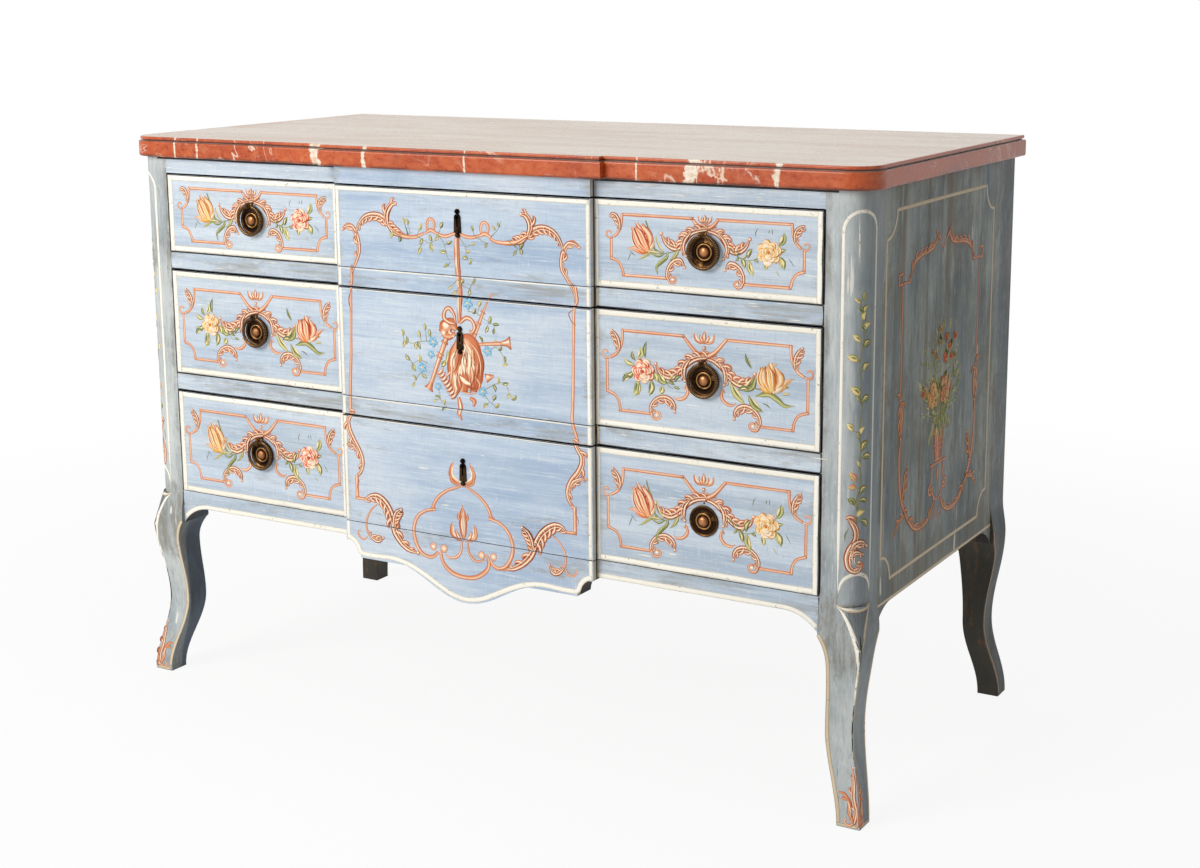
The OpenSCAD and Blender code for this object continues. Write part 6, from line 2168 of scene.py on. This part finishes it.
        spray(170, 16, 128, 3.9)
        for k in range(26):
            x, z = rng.uniform(-40, 44), rng.uniform(476, 500)
            p.leaf((x * 0.8, z + 6), (x, z - rng.uniform(6, 18)), rng.uniform(3.2, 5.6),
                   rng.uniform(-0.2, 0.2), rng.choice(greens))
        for spot, radius, petal, light, deep in (
            ((-60, 541), 8.5, CORAL, OCHRE, BLOOD), ((35, 592), 6.4, CORAL, OCHRE, BLOOD),
            ((18, 578), 8, CORAL, APRICOT, BLOOD),
            ((20, 607), 6, CORAL, OCHRE, BLOOD), ((55, 603), 6, OCHRE, CORAL, BLOOD),
            ((41, 576), 5, APRICOT, OCHRE, BLOOD), ((54, 576), 4.4, OCHRE, STRAW, BLOOD),
            ((-4, 620), 6.4, STRAW, OCHRE, MOSS), ((-6, 603), 5.4, OCHRE, STRAW, MOSS),
            ((-30, 592), 4.8, STRAW, OCHRE, MOSS), ((-16, 584), 5, OCHRE, STRAW, BLOOD),
            ((-26, 531), 19, GOLD, OCHRE, AMBER), ((19, 534), 22, CORAL, OCHRE, BLOOD),
        ):
            p.rose(spot, radius, petal, light, deep)
        spray(56, 30, 116, 3.2)


# ---------------------------------------------------------------- the brass


@dataclass(frozen=True)
class TurnedBrass:
    """Old brass that is brighter on its rims than in its hollows, by the turning's radius."""

    name: str
    stops: tuple[tuple[float, Colour], ...]
    rough: float = 0.3
    milled: bool = False

    def build(self) -> bpy.types.Material:
        """Makes the material."""
        r = Recipe(self.name, Metallic=1.0)
        marks = r.parts(r.add("UVMap", uv_map="turn").outputs[0])
        ramp = r.add("ValToRGB", {"Fac": marks[0]})
        for k, (spot, colour) in enumerate(self.stops):
            stop = ramp.color_ramp.elements[k] if k < 2 else ramp.color_ramp.elements.new(spot)
            stop.position, stop.color = spot, colour
        skin = r.noise(r.space((160, 160, 160)), 5, 0.65, 0.3)
        cloud = r.noise(r.space((70, 70, 70), shift=(3, 1, 2)), 3)
        colour = r.mix(r.spread(skin, 0.46, 0.7, 0.0, 0.75), ramp.outputs[0], hue(44, 28, 18))
        colour = r.glaze(colour, cloud, 0.56, 0.68, 0.4, hue(150, 108, 62))
        if self.milled:
            bead = r.spread(r.apart(marks[1], 0.5), 0.14, 0.34)
            colour = r.mix(r.times(bead, 0.9), r.glaze(colour, bead, 0.3, 0.0, 0.35, hue(206, 160, 108)),
                           hue(22, 14, 9))
        r.bump(skin, 0.00025, 0.6)
        return r.finish(colour, r.spread(skin, 0.3, 0.7, self.rough, self.rough + 0.2))


ROSETTE = TurnedBrass("rosette_skin", (
    (0.0, hue(194, 136, 92)), (1.0, hue(62, 43, 27)), (0.26, hue(150, 98, 62)), (0.37, hue(36, 23, 15)),
    (0.43, hue(58, 38, 24)),
    (0.49, hue(186, 138, 80)), (0.54, hue(60, 40, 23)), (0.61, hue(24, 16, 11)), (0.72, hue(50, 33, 20)),
    (0.84, hue(28, 19, 12)), (0.93, hue(92, 63, 37)),
), 0.26)
RING = TurnedBrass("ring_skin",
                   ((0.0, hue(56, 38, 25)), (1.0, hue(54, 36, 24)), (0.25, hue(31, 21, 14)),
                    (0.5, hue(76, 53, 33)), (0.75, hue(112, 79, 50))), 0.28, True)


class Turning:
    """Makes meshes by carrying a section round an axis that looks forward."""

    BEADED = (13.0, 18.0)
    """The radii between which a disc is beaded, in millimetres."""

    BEADS = 30
    """How many beads go round a disc."""

    BEAD_UP = 0.32
    """How high a bead stands, in millimetres."""

    MILLED_AT = 0.6
    """Where a hoop's milling is deepest, as an angle round its bar."""

    def __init__(self, name: str) -> None:
        """Starts an empty mesh."""
        self.name = name
        self.mesh = bmesh.new()
        self.uv = self.mesh.loops.layers.uv.new("turn")

    def quad(self, verts: list[bmesh.types.BMVert], marks: list[Point]) -> None:
        """Adds one face with its marks."""
        face = self.mesh.faces.new(verts)
        face.smooth = True
        for loop, mark in zip(face.loops, marks):
            loop[self.uv].uv = mark

    def disc(self, x: float, y: float, z: float, section: Sequence[Point], radius: float,
             count: int = 120) -> None:
        """Turns a closed disc, such as a rosette.

        Args:
            x: Its middle.
            y: The depth of its back.
            z: Its middle's height.
            section: Radius and height over the back, from the rim to the middle.
            radius: The radius that its marks are measured by.
            count: How many steps round.
        """
        rows, (low, high) = [], self.BEADED
        for r, h in section[:-1]:
            row = []
            for k in range(count):
                a = 2 * math.pi * k / count
                bead = self.BEAD_UP * max(0.0, math.cos(a * self.BEADS)) if low < r < high else 0.0
                row.append(self.mesh.verts.new(place(x + r * math.cos(a), y - h - bead, z + r * math.sin(a))))
            rows.append(row)
        middle = self.mesh.verts.new(place(x, y - section[-1][1], z))
        back = self.mesh.verts.new(place(x, y, z))
        for k in range(count):
            j = (k + 1) % count
            for i in range(len(rows) - 1):
                m0, m1 = section[i][0] / radius, section[i + 1][0] / radius
                self.quad([rows[i][k], rows[i][j], rows[i + 1][j], rows[i + 1][k]],
                          [(m0, 0), (m0, 1), (m1, 1), (m1, 0)])
            last = section[len(rows) - 1][0] / radius
            self.quad([rows[-1][k], rows[-1][j], middle], [(last, 0), (last, 1), (0, 0)])
            self.quad([rows[0][j], rows[0][k], back], [(1, 0), (1, 1), (1, 0)])

    def hoop(self, x: float, y: float, z: float, radius: float, band: float, thick: float,
             gap: float) -> None:
        """Bends a milled bar into an open ring.

        Args:
            x: The ring's middle.
            y: Its depth.
            z: Its middle's height.
            radius: The radius of the bar's middle.
            band: The bar's width across the ring.
            thick: Its thickness from front to back.
            gap: Half the angle left open at the top, in degrees.
        """
        steps, around = 232, 22
        rows = []
        for k in range(steps + 1):
            a = math.radians(90 + gap + (360 - 2 * gap) * k / steps)
            row = []
            for j in range(around):
                t = 2 * math.pi * j / around
                outer = max(0.0, math.cos(t - self.MILLED_AT))
                mill = 0.3 * max(0.0, math.cos(k * math.pi / 2)) * outer if k % 4 != 2 else -0.2 * outer
                step = -0.35 if 1.9 < t < 2.5 else 0.0
                out, fore = (band / 2 - 0.3 + mill) * math.cos(t), (thick / 2 + step) * math.sin(t)
                row.append(self.mesh.verts.new(place(x + (radius + out) * math.cos(a), y - fore,
                                                     z + (radius + out) * math.sin(a))))
            rows.append(row)
        for k in range(steps):
            for j in range(around):
                i = (j + 1) % around
                u0, u1, v0 = j / around, (j + 1) / around, ((k + 2) % 4) / 4
                self.quad([rows[k][j], rows[k][i], rows[k + 1][i], rows[k + 1][j]],
                          [(u0, v0), (u1, v0), (u1, v0 + 0.25), (u0, v0 + 0.25)])
        self.quad(rows[0][::-1], [(0.5, 0.5)] * around)
        self.quad(rows[-1], [(0.5, 0.5)] * around)

    def pin(self, x0: float, x1: float, y: float, z: float, radii: Sequence[Point]) -> None:
        """Turns a short pin that lies from left to right.

        Args:
            x0: Where it starts.
            x1: Where it ends.
            y: Its depth.
            z: Its height.
            radii: Shares of its length and the radius there.
        """
        count, rows = 20, []
        for share, radius in radii:
            row = []
            for k in range(count):
                a = 2 * math.pi * k / count
                row.append(self.mesh.verts.new(place(x0 + (x1 - x0) * share, y + radius * math.cos(a),
                                                     z + radius * math.sin(a))))
            rows.append(row)
        for i in range(len(rows) - 1):
            for k in range(count):
                j = (k + 1) % count
                self.quad([rows[i][k], rows[i][j], rows[i + 1][j], rows[i + 1][k]], [(0.5, 0.5)] * 4)
        self.quad(rows[0][::-1], [(0.5, 0.5)] * count)
        self.quad(rows[-1], [(0.5, 0.5)] * count)

    def build(self, body: str, slot: str, node: str, finish: TurnedBrass) -> None:
        """Makes the piece in its node's place.

        Args:
            body: The body that it moves with.
            slot: Not used.
            node: The node that it stands for.
            finish: What it is made of.
        """
        bmesh.ops.recalc_face_normals(self.mesh, faces=self.mesh.faces[:])
        data = bpy.data.meshes.new(self.name)
        self.mesh.to_mesh(data)
        self.mesh.free()
        data.materials.append(Workshop.get(finish))
        piece = bpy.data.objects.new(self.name, data)
        bpy.context.scene.collection.objects.link(piece)
        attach(piece, body)
        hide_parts(node)
        log.info("%s: %d faces", self.name, len(data.polygons))


@dataclass
class Handles:
    """The rosettes and ring pulls of one drawer."""

    drawer: str
    rings: tuple[int, ...] = (-1, 1)
    pivot_y: float = -7.0
    pivot_up: float = 24.5
    section: tuple[Point, ...] = (
        (ROSETTE_R, 0.0), (ROSETTE_R, 1.5), (21.2, 2.1), (20.6, 2.3), (19.9, 2.2), (19.3, 1.8), (18.6, 1.3),
        (17.2, 1.05), (15.4, 1.0), (13.6, 1.15), (12.4, 1.6),
        (11.6, 2.4), (11.0, 3.0), (10.4, 3.2), (9.8, 3.0), (9.3, 2.4), (8.8, 2.1), (8.3, 2.3), (7.6, 3.3),
        (6.7, 4.5), (5.5, 5.5), (4.1, 6.1), (2.6, 6.45), (1.2, 6.58), (0.0, 6.6),
    )

    def build(self) -> None:
        """Makes the rosettes and the rings."""
        z = HANDLE_Z[self.drawer]
        plates = Turning(f"{self.drawer}_rosettes_turned")
        for sign in (-1, 1):
            plates.disc(sign * HANDLE_X, 0.0, z, self.section, ROSETTE_R)
        plates.build(f"{self.drawer}_drawer", "rosette_brass", f"{self.drawer}_rosettes", ROSETTE)
        for sign in self.rings:
            side = side_name(sign)
            ring = Turning(f"{self.drawer}_ring_{side}_milled")
            x = sign * HANDLE_X
            ring.hoop(x, self.pivot_y, z, 21.3, 5.4, 4.4, 10.6)
            for s in (-1, 1):
                ring.pin(x + s * 3.9, x + s * 6.1, self.pivot_y, z + self.pivot_up,
                         ((0.0, 1.9), (0.12, 2.4), (0.88, 2.4), (1.0, 1.9)))
                ring.pin(x + s * 1.0, x + s * 4.4, self.pivot_y, z + self.pivot_up,
                         ((0.0, 1.2), (0.1, 1.3), (1.0, 1.3)))
            ring.build(f"{self.drawer}_ring_{side}", "handle_brass", f"{self.drawer}_ring_{side}", RING)


# ---------------------------------------------------------------- the case's nodes


@dataclass
class CaseFinishes:
    """The finishes of the nodes that stay as the source makes them."""

    blue: tuple[str, ...] = ("frieze_rail", "upper_rail", "lower_rail", "bottom_rail", "top_front",
                             "middle_front", "bottom_front")
    side: tuple[str, ...] = ("side_panel_left", "side_panel_right", "side_rail_left", "side_rail_right")

    def dress(self) -> None:
        """Gives every node its material."""
        for name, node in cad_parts.items():
            material = Workshop.get(self.choose(name))
            node.data.materials.clear()
            node.data.materials.append(material)
            log.info("%s: %s", name, material.name)

    def choose(self, name: str) -> CasePaint | Marble | OldWood | OldMetal:
        """Picks a node's finish.

        Args:
            name: The node's name.

        Returns:
            The finish.
        """
        if name == "marble_top":
            return Marble()
        if name in self.blue:
            return FRONT_BLUE
        if name.startswith("post_front"):
            return POST_BLUE
        if name.startswith("post_back"):
            return BACK_POST
        if name in self.side:
            return SIDE_BLUE
        if "rosette" in name:
            return OldMetal("rosette_brass", hue(176, 128, 72), hue(78, 50, 28), 0.32, 0.5)
        if "ring" in name or "handle" in name:
            return OldMetal("handle_brass", hue(104, 74, 48), hue(40, 27, 18), 0.28, 0.5)
        if "escutcheon" in name or "lock" in name:
            return OldMetal("dark_iron", hue(66, 48, 34), hue(16, 12, 9), 0.36, 0.5)
        if "bolt" in name:
            return OldMetal("bolt_steel", hue(150, 146, 138), hue(90, 84, 76), 0.35, 0.4)
        if name.startswith(("top_side", "middle_side",
                            "bottom_side")) or "runner" in name or "batten" in name:
            return OldWood("planed_wood_deep", hue(190, 156, 112), hue(150, 112, 72), "y")
        if name.endswith(("_back", "_bottom")):
            return OldWood("planed_wood_wide", hue(186, 150, 108), hue(148, 112, 74), "x")
        return OldWood("old_back_wood", hue(150, 118, 84), hue(104, 76, 50),
                       "z" if name == "back_panel" else "x")


# ---------------------------------------------------------------- the set


@dataclass
class Studio:
    """Camera, floor, lamps and the pale surround."""

    yaw: float = 30.65
    pitch: float = -11.29
    roll: float = -0.45
    spot: tuple[float, float, float] = (1.49347, -2.42007, 1.07546)
    lens: float = 56.22
    shift: tuple[float, float] = (-0.0006, -0.0556)

    def build(self) -> None:
        """Sets up the whole surround."""
        self.camera()
        self.floor()
        self.lamp("key_lamp", (-1.5, -3.5, 2.3), (0.0, 0.0, 0.45), 2.2, 124.0)
        self.lamp("top_lamp", (-0.2, 0.4, 3.4), (0.0, 0.0, 0.7), 2.6, 30.0)
        self.sky()
        bpy.context.scene.view_settings.view_transform = "Standard"

    def camera(self) -> None:
        """Puts the camera at the photographed angle."""
        yaw, pitch, roll = (math.radians(v) for v in (self.yaw, self.pitch, self.roll))
        ahead = Vector((-math.sin(yaw) * math.cos(pitch), math.cos(yaw) * math.cos(pitch), math.sin(pitch)))
        right = Vector((math.cos(yaw), math.sin(yaw), 0.0))
        up = right.cross(ahead)
        r = right * math.cos(roll) + up * math.sin(roll)
        u = up * math.cos(roll) - right * math.sin(roll)
        data = bpy.data.cameras.new("camera")
        data.sensor_width, data.lens = 36.0, self.lens
        data.shift_x, data.shift_y = self.shift
        camera = bpy.data.objects.new("camera", data)
        bpy.context.scene.collection.objects.link(camera)
        x, y, z = self.spot
        camera.matrix_world = Matrix(((r.x, u.x, -ahead.x, x), (r.y, u.y, -ahead.y, y),
                                      (r.z, u.z, -ahead.z, z), (0, 0, 0, 1)))
        bpy.context.scene.camera = camera

    def floor(self) -> None:
        """Lays a pale floor that shows a soft shadow."""
        data = bpy.data.meshes.new("studio_floor")
        data.from_pydata([(-30, -30, 0), (30, -30, 0), (30, 30, 0), (-30, 30, 0)], [], [(0, 1, 2, 3)])
        r = Recipe("studio_floor", Roughness=0.9, Specular_IOR_Level=0.1)
        dust = r.noise(r.space((3, 3, 3)), 3)
        colour = r.mix(r.spread(dust, 0.3, 0.7, 0.0, 0.2), hue(240, 240, 239), hue(234, 234, 233))
        r.finish(colour)
        glow = r.add("Emission", {"Color": (1, 1, 1, 1), "Strength": 1.0})
        path = r.add("LightPath")
        seen = r.most(path.outputs["Is Camera Ray"],
                      r.most(path.outputs["Is Glossy Ray"], path.outputs["Is Transmission Ray"]))
        far = r.add("VectorMath", {0: r.space()}, operation="LENGTH").outputs["Value"]
        share = r.spread(far, 0.9, 2.4, 0.9, 1.0)
        mixed = r.add("MixShader", {0: r.times(seen, share), 1: r.shader.outputs[0], 2: glow.outputs[0]})
        output = next(n for n in r.tree.nodes if n.type == "OUTPUT_MATERIAL")
        r.tree.links.new(mixed.outputs[0], output.inputs["Surface"])
        data.materials.append(r.material)
        piece = bpy.data.objects.new("studio_floor", data)
        bpy.context.scene.collection.objects.link(piece)

    def lamp(self, name: str, spot: Sequence[float], aim: Sequence[float], size: float, power: float) -> None:
        """Hangs one soft lamp.

        Args:
            name: What it is called.
            spot: Where it hangs, in metres.
            aim: The point that it looks at.
            size: The side of its square.
            power: Its watts.
        """
        data = bpy.data.lights.new(name, "AREA")
        data.size, data.energy = size, power
        lamp = bpy.data.objects.new(name, data)
        bpy.context.scene.collection.objects.link(lamp)
        lamp.location = spot
        lamp.rotation_euler = (Vector(aim) - Vector(spot)).to_track_quat("-Z", "Y").to_euler()

    def sky(self) -> None:
        """Surrounds the set with even light, white where the camera looks."""
        world = bpy.data.worlds.new("studio")
        bpy.context.scene.world = world
        world.use_nodes = True
        tree = world.node_tree
        background = tree.nodes["Background"]
        background.inputs["Color"].default_value = (1, 1, 1, 1)
        path = tree.nodes.new("ShaderNodeLightPath")
        top = tree.nodes.new("ShaderNodeMath")
        top.operation = "MAXIMUM"
        tree.links.new(path.outputs["Is Camera Ray"], top.inputs[0])
        tree.links.new(path.outputs["Is Glossy Ray"], top.inputs[1])
        span = tree.nodes.new("ShaderNodeMapRange")
        span.inputs["To Min"].default_value = 0.27
        span.inputs["To Max"].default_value = 1.0
        tree.links.new(top.outputs[0], span.inputs["Value"])
        tree.links.new(span.outputs[0], background.inputs["Strength"])


def main() -> None:
    """Builds and dresses the whole piece in order."""
    logging.basicConfig(level=logging.INFO, format="%(message)s")
    Studio().build()
    CaseFinishes().dress()
    coral = (CORAL, IVORY, BLOOD)
    gold = (GOLD, IVORY, AMBER)
    apricot = (APRICOT, IVORY, BLOOD)
    for drawer, sign, rose, tulip, rose_left in (
        ("top", -1, coral, gold, False), ("top", 1, gold, apricot, False),
        ("middle", -1, gold, apricot, True), ("middle", 1, coral, gold, True),
        ("bottom", -1, coral, gold, False), ("bottom", 1, gold, apricot, False),
    ):
        FieldOrnament(drawer, sign, rose, tulip, rose_left).build()
    CentreOrnament().build()
    RailOrnament().build()
    for sign in (-1, 1):
        CornerOrnament(sign).build()
        LegOrnament(sign).build()
        LegOrnament(sign).hind()
        SideOrnament(sign).build()
    for drawer in DRAWERS:
        Handles(drawer, (-1,) if drawer == "bottom" else (-1, 1)).build()


if __name__ == "__main__":
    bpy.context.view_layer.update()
    main()
